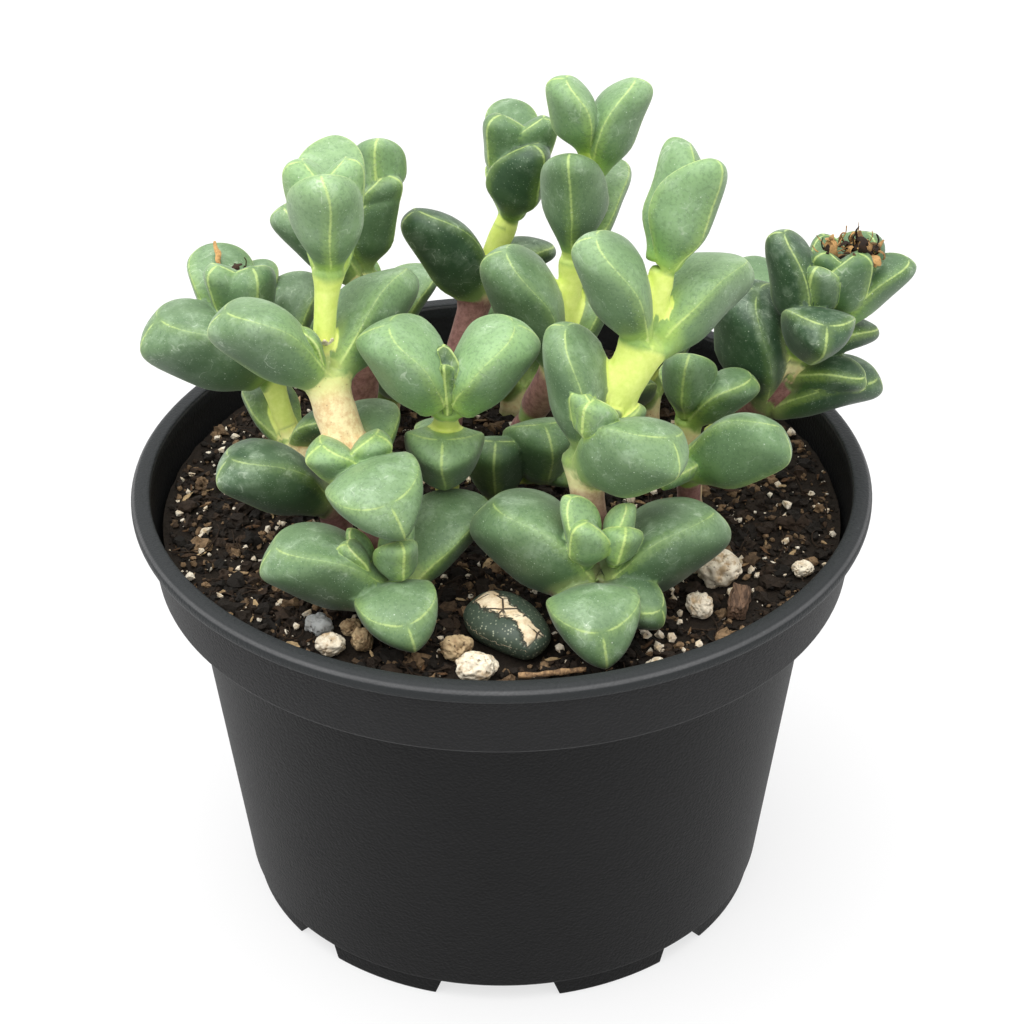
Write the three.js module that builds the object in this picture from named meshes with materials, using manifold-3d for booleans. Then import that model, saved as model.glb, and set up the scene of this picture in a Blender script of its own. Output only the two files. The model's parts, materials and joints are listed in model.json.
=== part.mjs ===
// A potted succulent: fat three-edged leaves in crossed pairs on short stems, in a black nursery pot.
// Millimetres, +Z up. The origin is the middle of the bounding box, on the surface that the pot stands on.
// Azimuths are counted in degrees from +X towards +Y, and the front of the pot faces -Y.

import * as THREE from 'three';
import { mergeVertices } from 'three/addons/utils/BufferGeometryUtils.js';
import Module from 'manifold-3d';

const wasm = await Module();
wasm.setup();

// Gap left between two pieces that touch
const clearance = 0.3;

// Pot: a thin moulded cone, stepped out into a band and a flat rim, on a notched foot ring
const rimRadius = 54;
const rimHeight = 67.3;
const rimLip = 2.3;
const rimWidth = 2.9;
const rimRounding = 0.5;
const bandTopRadius = 52.2;
const bandFootRadius = 50.65;
const bandFootHeight = 54.6;
const bodyTopRadius = 46.1;
const bodyFootRadius = 39.3;
const footRadius = 38.5;
const footHeight = 3.2;
const footWidth = 2;
const potWall = 1.1;
const potSides = 40;
const notchTurn = -1.5;
const notchRoof = 0.4;
const notchSlope = 1;
const wideNotch = { halfAngle: 13, azimuths: [0, 90, 180, 270] };
const narrowNotch = { halfAngle: 6, azimuths: [45, 135, 225, 315] };
const drainRadius = 3.5;
const drainCircle = 26;
const drainCount = 6;
const drainSides = 10;

// Soil: fills the pot to a few millimetres under its rim, with an uneven top
const soilHeight = 61.3;
const soilWave = 0.35;
const soilSides = 32;
const soilRings = 5;

// Stems
const stemRadius = 2.6;
const stemSides = 8;
const stemStepLength = 8;
const rootDepth = 7;

// Leaves: girths are shares of the length, and so are the arch, the chin and the pointed foot
const usualGirth = 0.6;
const leafArch = 0.16;
const leafChin = 0.45;
const leafFoot = 0.2;
const smallLeaf = 9;

// Each shoot is a list of joints, from the soil up. A joint is its place and the leaves that spring from it,
// and a leaf is its heading and climb in degrees, its length, its girth where that isn't the usual one,
// and its roll in degrees where it has one.
const shoots = {
  shoot_front_left: [
    { at: [-15.5, -27, 61], leaves: [] },
    { at: [-16.8, -28, 65.8], leaves: [[290, 14, 14, 0.82]] },
    { at: [-15, -28, 67], leaves: [[192, 28, 18.5, 0.75, -8], [50, 18, 19, 0.58], [300, 60, 8, 0.8],
      [215, 50, 8]] },
    { at: [-20, -22, 81.5], leaves: [[294, 13, 14.5, 0.93, -10], [76, 16, 14], [212, 50, 8, 0.95],
      [335, 65, 7.5, 0.9]] },
    { at: [-24, -16, 94.5], leaves: [[191, 39, 17.4, 0.72, -12], [52, 25, 19.3, 0.62, 25],
      [200, 62, 8.5, 0.5]] },
    { at: [-23.2, -12, 107.8], leaves: [[276, 77, 16.5, 0.64], [90, 46, 19.2, 0.52]] },
    { at: [-23.2, -10.5, 110.2], leaves: [[190, 78, 14, 0.65], [350, 80, 13.5, 0.64]] },
  ],
  shoot_left_behind: [
    { at: [-21, 8, 61], leaves: [] },
    { at: [-19.7, 8, 91], leaves: [] },
    { at: [-19.7, 9, 96.3], leaves: [[340, 76, 14.4, 0.58], [181, 43, 15, 0.66]] },
    { at: [-19.2, 9.5, 102.2], leaves: [[335, 70, 10.5, 0.72], [84, 28, 12]] },
    { at: [-17, 10, 105.9], leaves: [[268, 95, 10.3, 0.78]] },
  ],
  shoot_far_left: [
    { at: [-23.5, -8, 61], leaves: [] },
    { at: [-25, -10, 71], leaves: [[203, 33, 16.7, 0.78, -5]] },
    { at: [-30, -1, 73.5], leaves: [[123, 17, 13], [326, 41, 10, 0.7]] },
    { at: [-34, 3, 84.6], leaves: [[201, 33, 18, 0.82], [59, 37, 15]] },
    { at: [-37, 5, 88.5], leaves: [[290, 73, 12.5, 0.95], [240, 70, 13, 0.75], [122, 37, 14.5, 0.7],
      [76, 28, 12.5, 0.55], [270, 88, 9, 0.25]] },
  ],
  shoot_low_middle: [
    { at: [-0.5, 1, 61], leaves: [] },
    { at: [-0.5, 1, 65], leaves: [[264, 59, 13.3, 0.75]] },
    { at: [5.5, 2.5, 67], leaves: [[279, 58, 13.5, 0.85], [307, 20, 7, 0.9]] },
  ],
  shoot_centre_pale: [
    { at: [-7, -7, 61], leaves: [] },
    { at: [-8, -9.5, 75.2], leaves: [[274, 46, 13.5, 0.85], [105, 10, 9.5, 0.65]] },
    { at: [-7.3, -18.5, 90.9], leaves: [[182, 58, 14.5, 0.9], [3, 50, 14.3, 0.88], [270, 86, 8, 0.35],
      [97, 84, 11, 0.4]] },
  ],
  shoot_front_right: [
    { at: [11, -29.5, 61], leaves: [] },
    { at: [11, -30.5, 67], leaves: [[282, 12, 14, 0.92], [312, 10, 14, 0.75]] },
    { at: [13.5, -28, 68], leaves: [[167, 35, 18.3, 0.84, -18], [12, 28, 18.2, 0.8, 16],
      [232, 78, 9, 0.8], [150, 66, 11.5, 0.5], [310, 55, 8, 0.8], [36, 68, 10, 0.5]] },
    { at: [12, -23, 84.5], leaves: [[325, 31, 15, 0.94, 25], [160, 79, 19.5, 0.56], [13, 71, 9, 0.75],
      [16, 45, 10]] },
    { at: [20, -18, 100.3], leaves: [[193, 65, 17.5, 0.66, 14], [44, 17, 19, 0.68, 15]] },
    { at: [22, -15, 110], leaves: [[5, 68, 16.5, 0.6, 55], [58, 66, 16.7, 0.6, -110]] },
  ],
  shoot_top_middle: [
    { at: [2, 11, 61], leaves: [] },
    { at: [4.5, 7, 73], leaves: [] },
    { at: [8.5, 3, 85], leaves: [[191, 66, 19.5, 0.66, 8], [38, 50, 14]] },
    { at: [10.5, 6, 99.8], leaves: [[262, 83, 17.5, 0.57], [63, 31, 17, 0.5]] },
    { at: [12.5, 9, 114.5], leaves: [[185, 75, 12.2, 0.75, 5], [12, 60, 12.2, 0.9, 10]] },
  ],
  shoot_back_middle: [
    { at: [-9, 14, 61], leaves: [] },
    { at: [-6.4, 15, 77.3], leaves: [] },
    { at: [-2.5, 18.5, 89.6], leaves: [[203, 43, 17, 0.86, -20], [33, 11, 12], [280, 60, 6]] },
    { at: [1.4, 20.5, 99], leaves: [[310, 69, 14, 0.68], [105, 25, 10, 0.5]] },
    { at: [2, 21.5, 103.6], leaves: [[225, 79, 12, 0.74], [336, 69, 12.3, 0.65], [91, 35, 14]] },
  ],
  shoot_far_right: [
    { at: [33, 13, 61], leaves: [] },
    { at: [35, 14, 69.5], leaves: [] },
    { at: [39.5, 10, 73.5], leaves: [[356, 21, 15.5, 0.68], [176, 83, 18.5, 0.85, 10]] },
    { at: [42, 9, 79], leaves: [[8, 12, 12.8, 0.7]] },
    { at: [43, 8, 82.5], leaves: [[19, 3, 14.5, 0.66]] },
    { at: [44, 8, 85.7], leaves: [[283, 36, 12.5, 0.84, 12], [185, 77, 17, 0.55, 15]] },
    { at: [48, 9.3, 87.5], leaves: [[215, 80, 12], [300, 75, 13, 0.75], [10, 39, 14],
      [45, 56, 13.5, 0.7], [102, 65, 12], [40, 80, 13, 0.2]] },
  ],
  shoot_right_small: [
    { at: [28, 1, 61], leaves: [] },
    { at: [27, 2, 76], leaves: [[258, 83, 9.5, 0.72], [348, 41, 9.8, 0.7], [110, 30, 9]] },
  ],
  shoot_right_low: [
    { at: [27, -9, 61], leaves: [] },
    { at: [26.5, -12, 77.2], leaves: [[345, 28, 15, 0.86, 32], [244, 13, 9, 0.7]] },
  ],
  shoot_right_behind: [
    { at: [33, 22, 61], leaves: [] },
    { at: [37.5, 25, 73.5], leaves: [[95, 16, 14], [79, 27, 17]] },
  ],
  shoot_back_left: [
    { at: [-18, 25, 61], leaves: [] },
    { at: [-18, 26, 67], leaves: [[130, 20, 16], [300, 30, 12]] },
    { at: [-19, 28, 74], leaves: [[45, 35, 14], [225, 35, 15]] },
    { at: [-19.5, 29, 79], leaves: [[130, 60, 9], [300, 60, 9]] },
  ],
  shoot_back: [
    { at: [2, 28, 61], leaves: [] },
    { at: [2, 29, 66], leaves: [[40, 20, 15], [220, 30, 12]] },
    { at: [2, 30, 71.5], leaves: [[130, 35, 13], [310, 35, 12]] },
    { at: [2.5, 30, 76], leaves: [[40, 60, 8], [220, 60, 8]] },
  ],
  shoot_back_right: [
    { at: [22, 24, 61], leaves: [] },
    { at: [22, 26, 66], leaves: [[65, 25, 15], [245, 25, 13]] },
    { at: [22.5, 27, 72], leaves: [[110, 35, 14], [290, 35, 12]] },
    { at: [23, 28, 76], leaves: [[20, 60, 8], [200, 60, 8]] },
  ],
};

// Lumps part sunk in the soil: centre, half sizes along their own axes, and turn in degrees
const lumps = {
  stone_1: { at: [-23.5, -36.5, 62.6], size: [2, 1.8, 1.7], turn: 10 },
  stone_2: { at: [-19.2, -35, 62.4], size: [1.6, 1.5, 1.8], turn: 40 },
  stone_3: { at: [-25.3, -31, 62], size: [2.1, 1.9, 1.6], turn: 70 },
  stone_4: { at: [-20.9, -31.2, 62], size: [1.5, 1.4, 1.3], turn: 20 },
  stone_5: { at: [-6.3, -37, 62.6], size: [2.7, 1.8, 1.8], turn: -35 },
  stone_6: { at: [-3.2, -42.2, 62.8], size: [3, 2.2, 2.1], turn: 15 },
  stone_7: { at: [30.7, -18.6, 62.8], size: [3.5, 2.6, 2.6], turn: 35 },
  stone_8: { at: [21, -40.5, 61.8], size: [1.6, 1.4, 1.2], turn: 0 },
  stone_9: { at: [27.6, -27.5, 62.4], size: [2, 1.9, 1.9], turn: 55 },
  stone_10: { at: [42.7, -18, 62.2], size: [1.7, 1.4, 1.2], turn: 30 },
  bark_chip: { at: [33.2, -26, 62.4], size: [1.6, 3.2, 1.5], turn: -15 },
};
const lumpRoughness = 0.1;

// A fallen leaf, old and cracked, half sunk in the soil, and a twig that lies before it
const fallenLeaf = { at: [5, -38.5, 64.3], leaf: [130, -3, 14, 0.66] };
const twig = { from: [2.5, -43, 62.1], to: [11.5, -42.5, 62.3], radius: 0.6, sides: 6 };

const radians = THREE.MathUtils.degToRad;
const smoothstep = THREE.MathUtils.smoothstep;
const vector = (values) => new THREE.Vector3(...values);

// Solids from closed meshes, and meshes from solids

function solidOf(geometry) {
  const plain = geometry.clone();
  plain.deleteAttribute('normal');
  plain.deleteAttribute('uv');
  const merged = mergeVertices(plain, 1e-4);
  return new wasm.Manifold(new wasm.Mesh({
    numProp: 3,
    vertProperties: new Float32Array(merged.attributes.position.array),
    triVerts: new Uint32Array(merged.index.array),
  }));
}

function geometryOf(solid) {
  const { vertProperties, triVerts } = solid.getMesh();
  const geometry = new THREE.BufferGeometry();
  geometry.setAttribute('position', new THREE.BufferAttribute(vertProperties, 3));
  geometry.setIndex(new THREE.BufferAttribute(triVerts, 1));
  geometry.computeVertexNormals();
  return geometry;
}

const join = (solids) => solids.reduce((whole, solid) => whole.add(solid));
const cut = (whole, solids) => solids.reduce((rest, solid) => rest.subtract(solid), whole);

// The one outer body of a joined solid, with sealed hollows filled and loose scraps dropped
const outerBody = (solid) => solid.decompose().reduce((a, b) => (a.volume() > b.volume() ? a : b));

// Mesh over rings of points that all have the same count, from one end point to the other
function skinRings(start, rings, end) {
  const count = rings[0].length;
  const last = (rings.length - 1) * count;
  const [startIndex, endIndex] = [last + count, last + count + 1];
  const faces = [];
  for (let j = 0; j < count; j += 1) {
    const next = (j + 1) % count;
    faces.push(startIndex, next, j);
    for (let low = 0; low < last; low += count) {
      faces.push(low + j, low + next, low + count + next);
      faces.push(low + j, low + count + next, low + count + j);
    }
    faces.push(last + j, last + next, endIndex);
  }
  const geometry = new THREE.BufferGeometry().setFromPoints([...rings.flat(), start, end]);
  geometry.setIndex(faces);
  return geometry;
}

// Leaves: a three-cornered section, with its keel below and two margins above, that ends blunt at the tip

// Falls from 1 at a start to 0 at the tip, rounded as much as the power and the root say
const bluntEnd = (t, start, power, root) => (1 - Math.max(0, (t - start) / (1 - start)) ** power) ** root;

// Corners of the section at a share t of the length, and the swell of the face after each corner
function leafSection(t, girth) {
  const half = 0.5 * girth * (0.5 + 0.5 * smoothstep(t, 0, 0.55)) * bluntEnd(t, 0.55, 2.4, 0.55);
  const end = bluntEnd(t, 0.5, 2.2, 0.6);
  const keel = 0.66 * girth * (0.45 + 0.55 * smoothstep(t, 0, 0.4)) * end;
  const margin = leafArch * Math.sin(Math.PI * t ** 1.2);
  return {
    corners: [[-half, margin], [0, margin - keel], [half, margin]],
    swells: [0.14, 0.14, 0.12].map((share) => share * girth * end),
  };
}

// Points round a leaf's section, at its corners and halfway between, as shares of its length:
// along, across and up
function leafOutline(t, girth) {
  const { corners, swells } = leafSection(t, girth);
  const margin = corners[0][1];
  return corners.flatMap(([x, y], side) => {
    const [endX, endY] = corners[(side + 1) % corners.length];
    const [sideX, sideY] = [endX - x, endY - y];
    const length = Math.hypot(sideX, sideY);
    return [0, 0.5].map((share) => {
      const out = (4 * share * (1 - share) * swells[side]) / length;
      const up = y + sideY * share - sideX * out;
      const along = t + leafChin * (margin - up) * smoothstep(t, 0.2, 0.8);
      return [along, x + sideX * share + sideY * out, up];
    });
  });
}

const direction = (heading, climb) => new THREE.Vector3(1, 0, 0)
  .applyAxisAngle(new THREE.Vector3(0, -1, 0), radians(climb))
  .applyAxisAngle(new THREE.Vector3(0, 0, 1), radians(heading));

function leafSolid(base, [heading, climb, length, girth = usualGirth, roll = 0]) {
  const along = direction(heading, climb);
  const up = direction(heading, climb + 90).applyAxisAngle(along, radians(-roll));
  const across = new THREE.Vector3().crossVectors(up, along);
  const place = ([x, y, z]) => base.clone()
    .addScaledVector(along, x * length)
    .addScaledVector(across, y * length)
    .addScaledVector(up, z * length);
  const stations = length < smallLeaf ? [0, 0.4, 0.85] : [0, 0.35, 0.7, 0.93];
  const rings = stations.map((t) => leafOutline(t, girth).map(place));
  return solidOf(skinRings(place([0, 0, -leafFoot * girth]), rings, place([1, 0, 0])));
}

// Stems

function tube(points, radius, sides) {
  const circle = Array.from({ length: sides }, (_, i) => {
    const angle = (2 * Math.PI * i) / sides;
    return new THREE.Vector2(radius * Math.cos(angle), radius * Math.sin(angle));
  });
  const extrudePath = new THREE.CatmullRomCurve3(points);
  const steps = Math.ceil(extrudePath.getLength() / stemStepLength);
  const options = { extrudePath, steps, bevelEnabled: false };
  return solidOf(new THREE.ExtrudeGeometry(new THREE.Shape(circle), options));
}

function stemSolid(joints, extra = 0) {
  const points = joints.map(({ at }) => vector(at));
  points.unshift(points[0].clone().setZ(points[0].z - rootDepth - extra));
  return tube(points, stemRadius + extra, stemSides);
}

function shootSolid(joints) {
  const grow = ({ at, leaves: sprung }) => sprung.map((leaf) => leafSolid(vector(at), leaf));
  const leaves = joints.flatMap(grow);
  return outerBody(join([stemSolid(joints), ...leaves]));
}

// Pot

function potSolid() {
  const footTop = footHeight - 0.2;
  const profile = [
    [0, footTop],
    [footRadius - footWidth, footTop],
    [footRadius - footWidth, 0],
    [footRadius, 0],
    [footRadius, footHeight],
    [bodyFootRadius, footHeight],
    [bodyTopRadius, bandFootHeight],
    [bandFootRadius, bandFootHeight],
    [bandTopRadius, rimHeight - rimLip],
    [rimRadius, rimHeight - rimLip],
    [rimRadius, rimHeight - rimRounding],
    [rimRadius - rimRounding, rimHeight],
    [rimRadius - rimWidth, rimHeight],
    [bandTopRadius - potWall, rimHeight - rimLip],
    [bandFootRadius - potWall, bandFootHeight + potWall],
    [bodyTopRadius - potWall, bandFootHeight + potWall],
    [bodyFootRadius - potWall, footHeight + potWall],
    [0, footHeight + potWall],
  ].map(([x, y]) => new THREE.Vector2(x, y));
  const shell = solidOf(new THREE.LatheGeometry(profile, potSides).rotateX(Math.PI / 2));
  return cut(shell, [...drainHoles(), ...footNotches(wideNotch), ...footNotches(narrowNotch)]);
}

function drainHoles() {
  const places = Array.from({ length: drainCount }, (_, i) => {
    const azimuth = (2 * Math.PI * i) / drainCount;
    return [drainCircle * Math.cos(azimuth), drainCircle * Math.sin(azimuth)];
  });
  return [[0, 0], ...places].map(([x, y]) => {
    const hole = new THREE.CylinderGeometry(drainRadius, drainRadius, 4 * footHeight, drainSides);
    return solidOf(hole.rotateX(Math.PI / 2).translate(x, y, 0));
  });
}

// Notches through the foot ring, with sides that close in towards the top
function footNotches({ halfAngle, azimuths }) {
  const low = footRadius * Math.tan(radians(halfAngle + notchSlope));
  const high = footRadius * Math.tan(radians(halfAngle - notchSlope));
  const top = footHeight - notchRoof;
  const outline = [[-low, -1], [low, -1], [high, top], [-high, top]];
  const shape = new THREE.Shape(outline.map(([x, y]) => new THREE.Vector2(x, y)));
  const depth = 4 * footWidth;
  return azimuths.map((azimuth) => solidOf(
    new THREE.ExtrudeGeometry(shape, { depth, bevelEnabled: false })
      .rotateX(Math.PI / 2)
      .translate(0, (footWidth + depth) / 2 - footRadius, 0)
      .rotateZ(radians(azimuth + notchTurn + 90)),
  ));
}

// Soil

const soilTopAt = (x, y) => soilHeight
  + soilWave * (Math.sin(x / 5.3) * Math.cos(y / 6.1) + 0.6 * Math.sin(x / 2.9 + y / 3.7));

function soilSolid() {
  const ring = (radius, height) => Array.from({ length: soilSides }, (_, i) => {
    const azimuth = (2 * Math.PI * i) / soilSides;
    const [x, y] = [radius * Math.cos(azimuth), radius * Math.sin(azimuth)];
    return new THREE.Vector3(x, y, height ?? soilTopAt(x, y));
  });
  const floor = footHeight + potWall + clearance;
  const ledge = bandFootHeight + potWall + clearance;
  const inside = potWall + 2 * clearance;
  const widening = (bandTopRadius - bandFootRadius) / (rimHeight - rimLip - bandFootHeight);
  const edge = bandFootRadius - inside + widening * (soilHeight - ledge);
  const rings = [
    ring(bodyFootRadius - inside, floor),
    ring(bodyTopRadius - inside, ledge),
    ring(bandFootRadius - inside, ledge),
    ...Array.from({ length: soilRings }, (_, i) => ring((edge * (soilRings - i)) / soilRings)),
  ];
  return solidOf(skinRings(new THREE.Vector3(0, 0, floor), rings, new THREE.Vector3(0, 0, soilTopAt(0, 0))));
}

// Lumps, fallen leaf and twig, each as it is and with the extra that its socket in the soil takes

// Repeatable random numbers from 0 to 1
function randomFrom(seed) {
  let state = seed;
  return () => {
    state = (state * 16807) % 2147483647;
    return state / 2147483647;
  };
}

function lumpSolid({ at, size, turn }, seed, extra = 0) {
  const random = randomFrom(seed);
  const ball = new THREE.IcosahedronGeometry(1, 1);
  ball.deleteAttribute('normal');
  ball.deleteAttribute('uv');
  const lump = mergeVertices(ball, 1e-4);
  const { position } = lump.attributes;
  for (let i = 0; i < position.count; i += 1) {
    const rough = 1 + lumpRoughness * (2 * random() - 1);
    const [x, y, z] = size.map((half) => half * rough + extra);
    position.setXYZ(i, position.getX(i) * x, position.getY(i) * y, position.getZ(i) * z);
  }
  return solidOf(lump.rotateZ(radians(turn)).translate(...at));
}

const lumpSolids = (extra) => Object.values(lumps)
  .map((lump, index) => lumpSolid(lump, 97 * index + 11, extra));

// The socket is a leaf drawn back from its base, and longer and wider than the leaf that lies in it
function fallenLeafSolid(extra = 0) {
  const { at, leaf: [heading, climb, length, girth] } = fallenLeaf;
  const longer = length + 2.4 * extra;
  const base = vector(at).addScaledVector(direction(heading, climb), -1.2 * extra);
  return leafSolid(base, [heading, climb, longer, (girth * length + 3 * extra) / longer]);
}

function twigSolid(extra = 0) {
  const along = vector(twig.to).sub(vector(twig.from)).setLength(extra);
  const ends = [vector(twig.from).sub(along), vector(twig.to).add(along)];
  return tube(ends, twig.radius + extra, twig.sides);
}

// Materials and the assembly

const plain = (color, roughness) => new THREE.MeshStandardMaterial({ color, roughness, metalness: 0 });
const potPlastic = plain(0x2b2d30, 0.5);
const soilMix = plain(0x2a2018, 0.95);
const leafSkin = plain(0x6f8f62, 0.55);
const stoneSkin = plain(0xd8cfb8, 0.9);
const driedSkin = plain(0x39453a, 0.7);
const barkSkin = plain(0x5b3a28, 0.9);

function named(name, solid, material) {
  const mesh = new THREE.Mesh(geometryOf(solid), material);
  mesh.name = name;
  return mesh;
}

const sockets = [
  ...Object.values(shoots).map((joints) => stemSolid(joints, clearance)),
  ...lumpSolids(clearance),
  fallenLeafSolid(clearance),
  twigSolid(clearance),
];
const lumpNames = Object.keys(lumps);

const assembly = new THREE.Group();
assembly.add(named('pot', potSolid(), potPlastic));
assembly.add(named('soil', outerBody(cut(soilSolid(), sockets)), soilMix));
Object.entries(shoots).forEach(([name, joints]) => assembly.add(named(name, shootSolid(joints), leafSkin)));
lumpSolids(0).forEach((lump, index) => {
  assembly.add(named(lumpNames[index], lump, lumpNames[index] === 'bark_chip' ? barkSkin : stoneSkin));
});
assembly.add(named('fallen_leaf', fallenLeafSolid(), driedSkin));
assembly.add(named('twig', twigSolid(), barkSkin));

const middle = new THREE.Box3().setFromObject(assembly).getCenter(new THREE.Vector3());
assembly.position.set(-middle.x, -middle.y, 0);

export default assembly;
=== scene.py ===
# %% [markdown]
# # A potted succulent, dressed around its solid model
# The plant grows fat three-edged leaves in crossed pairs on short stems. It stands in a black nursery pot that is
# filled with dark potting mix, pale expanded stones and a few dry bits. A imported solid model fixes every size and
# place, and this script gives each piece its real surface: wax, pale lines, grain, crumbs and cracks.
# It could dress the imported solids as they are, but their leaves have flat facets, so the leaves, the pot and the
# soil are modelled again on the same measures, and each new piece replaces its plain solid.

# %% Load the model
import json
import math
import random

import bpy
import numpy as np
from mathutils import Euler, Matrix, Vector, kdtree, noise

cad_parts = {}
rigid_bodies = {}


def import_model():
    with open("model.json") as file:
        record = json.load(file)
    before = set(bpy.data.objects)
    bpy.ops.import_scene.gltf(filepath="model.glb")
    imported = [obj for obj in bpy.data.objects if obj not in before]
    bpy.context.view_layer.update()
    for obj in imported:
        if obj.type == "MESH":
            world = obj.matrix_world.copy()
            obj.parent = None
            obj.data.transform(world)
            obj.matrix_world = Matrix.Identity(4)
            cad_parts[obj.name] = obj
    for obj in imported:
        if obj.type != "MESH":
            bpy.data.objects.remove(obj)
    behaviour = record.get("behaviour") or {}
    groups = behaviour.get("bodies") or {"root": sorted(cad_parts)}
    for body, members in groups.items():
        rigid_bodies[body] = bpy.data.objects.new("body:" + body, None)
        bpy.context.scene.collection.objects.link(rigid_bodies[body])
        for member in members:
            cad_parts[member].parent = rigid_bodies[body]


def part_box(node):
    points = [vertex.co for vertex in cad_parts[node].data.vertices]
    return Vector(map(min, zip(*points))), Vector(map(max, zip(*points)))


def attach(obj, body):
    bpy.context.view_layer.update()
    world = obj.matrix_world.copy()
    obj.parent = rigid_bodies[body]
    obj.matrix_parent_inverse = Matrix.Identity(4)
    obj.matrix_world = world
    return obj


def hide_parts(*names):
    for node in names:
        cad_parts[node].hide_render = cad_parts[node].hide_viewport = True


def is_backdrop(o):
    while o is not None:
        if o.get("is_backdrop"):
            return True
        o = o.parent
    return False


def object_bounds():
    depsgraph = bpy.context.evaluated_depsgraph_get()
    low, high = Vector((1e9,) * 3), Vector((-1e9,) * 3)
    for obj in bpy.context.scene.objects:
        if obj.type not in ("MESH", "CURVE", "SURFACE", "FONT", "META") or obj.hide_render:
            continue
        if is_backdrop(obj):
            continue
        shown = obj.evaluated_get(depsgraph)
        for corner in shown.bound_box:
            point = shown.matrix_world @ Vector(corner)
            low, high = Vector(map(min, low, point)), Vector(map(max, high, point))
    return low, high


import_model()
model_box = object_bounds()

mm = 0.001
pot_low, pot_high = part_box("pot")
pot_axis = Vector(((pot_low.x + pot_high.x) / 2, (pot_low.y + pot_high.y) / 2, 0))
print("pot axis at", [round(value / mm, 2) for value in pot_axis], "mm")

# %% [markdown]
# Every size below is in millimetres, counted from the pot's axis and from the surface that it stands on, because
# that is how a pot is measured. One function turns such a place into the frame's metres.

# %% Places, selection and modifiers
def at(x, y, z):
    return pot_axis + Vector((x, y, z)) * mm


def select_only(*pieces):
    bpy.ops.object.select_all(action="DESELECT")
    for piece in pieces:
        piece.select_set(True)
    bpy.context.view_layer.objects.active = pieces[0]


def name_newest(name):
    piece = bpy.context.object
    piece.name = piece.data.name = name
    return piece


def settle(piece):
    """Move the piece's place into its mesh"""
    select_only(piece)
    bpy.ops.object.transform_apply(location=True, rotation=True, scale=True)


def shape_with(piece, kind, **settings):
    """Add a modifier and apply it"""
    select_only(piece)
    modifier = piece.modifiers.new(kind.title(), kind)
    for setting, value in settings.items():
        setattr(modifier, setting, value)
    bpy.ops.object.modifier_apply(modifier=modifier.name)


def clean_shell(piece, gap=0.00001):
    """Merge doubled points and turn all faces outwards"""
    select_only(piece)
    bpy.ops.object.mode_set(mode="EDIT")
    bpy.ops.mesh.select_all(action="SELECT")
    bpy.ops.mesh.remove_doubles(threshold=gap)
    bpy.ops.mesh.normals_make_consistent(inside=False)
    bpy.ops.object.mode_set(mode="OBJECT")


def places_of(piece):
    places = np.empty(len(piece.data.vertices) * 3)
    piece.data.vertices.foreach_get("co", places)
    return places.reshape(-1, 3)


def set_places(piece, places):
    piece.data.vertices.foreach_set("co", np.asarray(places, float).ravel())
    piece.data.update()


def note_on_points(piece, name, values):
    """Store one number on each point, for the materials to read"""
    layer = piece.data.attributes.get(name) or piece.data.attributes.new(name, "FLOAT", "POINT")
    layer.data.foreach_set("value", np.asarray(values, float))


def smooth_step(low, high, value):
    share = np.clip((value - low) / (high - low), 0, 1)
    return share * share * (3 - 2 * share)


def finish_piece(piece, material, slot, *nodes):
    """Dress a piece, let it ride with the pot, and let it stand for its solids"""
    piece.data.materials.clear()
    piece.data.materials.append(material)
    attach(piece, "root")
    if nodes:
        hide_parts(*nodes)
    print(piece.name, len(piece.data.polygons), "faces")


# %% [markdown]
# ## Camera
# The rim, the band and the foot of the pot show as ellipses in the picture, and their widths and heights give the
# camera: it looks down at 33 degrees through a long lens from less than half a metre, aimed a little above the
# middle of the pot. A camera set by its aim, distance and tilt stays easy to read.

# %% Camera
aim = at(1.5, 0, 60.5)
look_down = math.radians(33)
camera_distance = 466 * mm
camera_roll = math.radians(-0.3)

camera_data = bpy.data.cameras.new("camera")
camera_data.sensor_width = 36
camera_data.lens = 111.4
camera = bpy.data.objects.new("camera", camera_data)
bpy.context.scene.collection.objects.link(camera)
turn = Euler((math.pi / 2 - look_down, 0, 0)).to_matrix() @ Matrix.Rotation(camera_roll, 3, "Z")
camera.matrix_world = Matrix.Translation(aim + turn @ Vector((0, 0, camera_distance))) @ turn.to_4x4()
bpy.context.scene.camera = camera
print("camera at", [round(value, 3) for value in camera.matrix_world.translation], "m")

# %% [markdown]
# ## Light and floor
# The picture is a plain product shot on white ground, lit from above. An even sky would light the underside of each
# leaf as much as its top, so this one is bright overhead and falls off towards the horizon, as under a large white
# tent. One soft lamp above on the left adds the gentle shading. The floor glows a little by itself, as the lit white
# table in such a shot does, so that the shadow stays faint.

# %% Light and floor
scene = bpy.context.scene
scene.view_settings.view_transform = "Standard"

horizon_brightness, overhead_brightness = 0.3, 2.2
sky = bpy.data.worlds.new("sky")
sky.use_nodes = True
sky_nodes, sky_links = sky.node_tree.nodes, sky.node_tree.links
view_ray = sky_nodes.new("ShaderNodeTexCoord")
height = sky_nodes.new("ShaderNodeSeparateXYZ")
brightness = sky_nodes.new("ShaderNodeMapRange")
brightness.inputs["To Min"].default_value = horizon_brightness
brightness.inputs["To Max"].default_value = overhead_brightness
sky_links.new(view_ray.outputs["Generated"], height.inputs[0])
sky_links.new(height.outputs["Z"], brightness.inputs["Value"])
sky_links.new(brightness.outputs["Result"], sky_nodes["Background"].inputs["Strength"])
sky_nodes["Background"].inputs["Color"].default_value = (1, 1, 1, 1)
scene.world = sky


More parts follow.
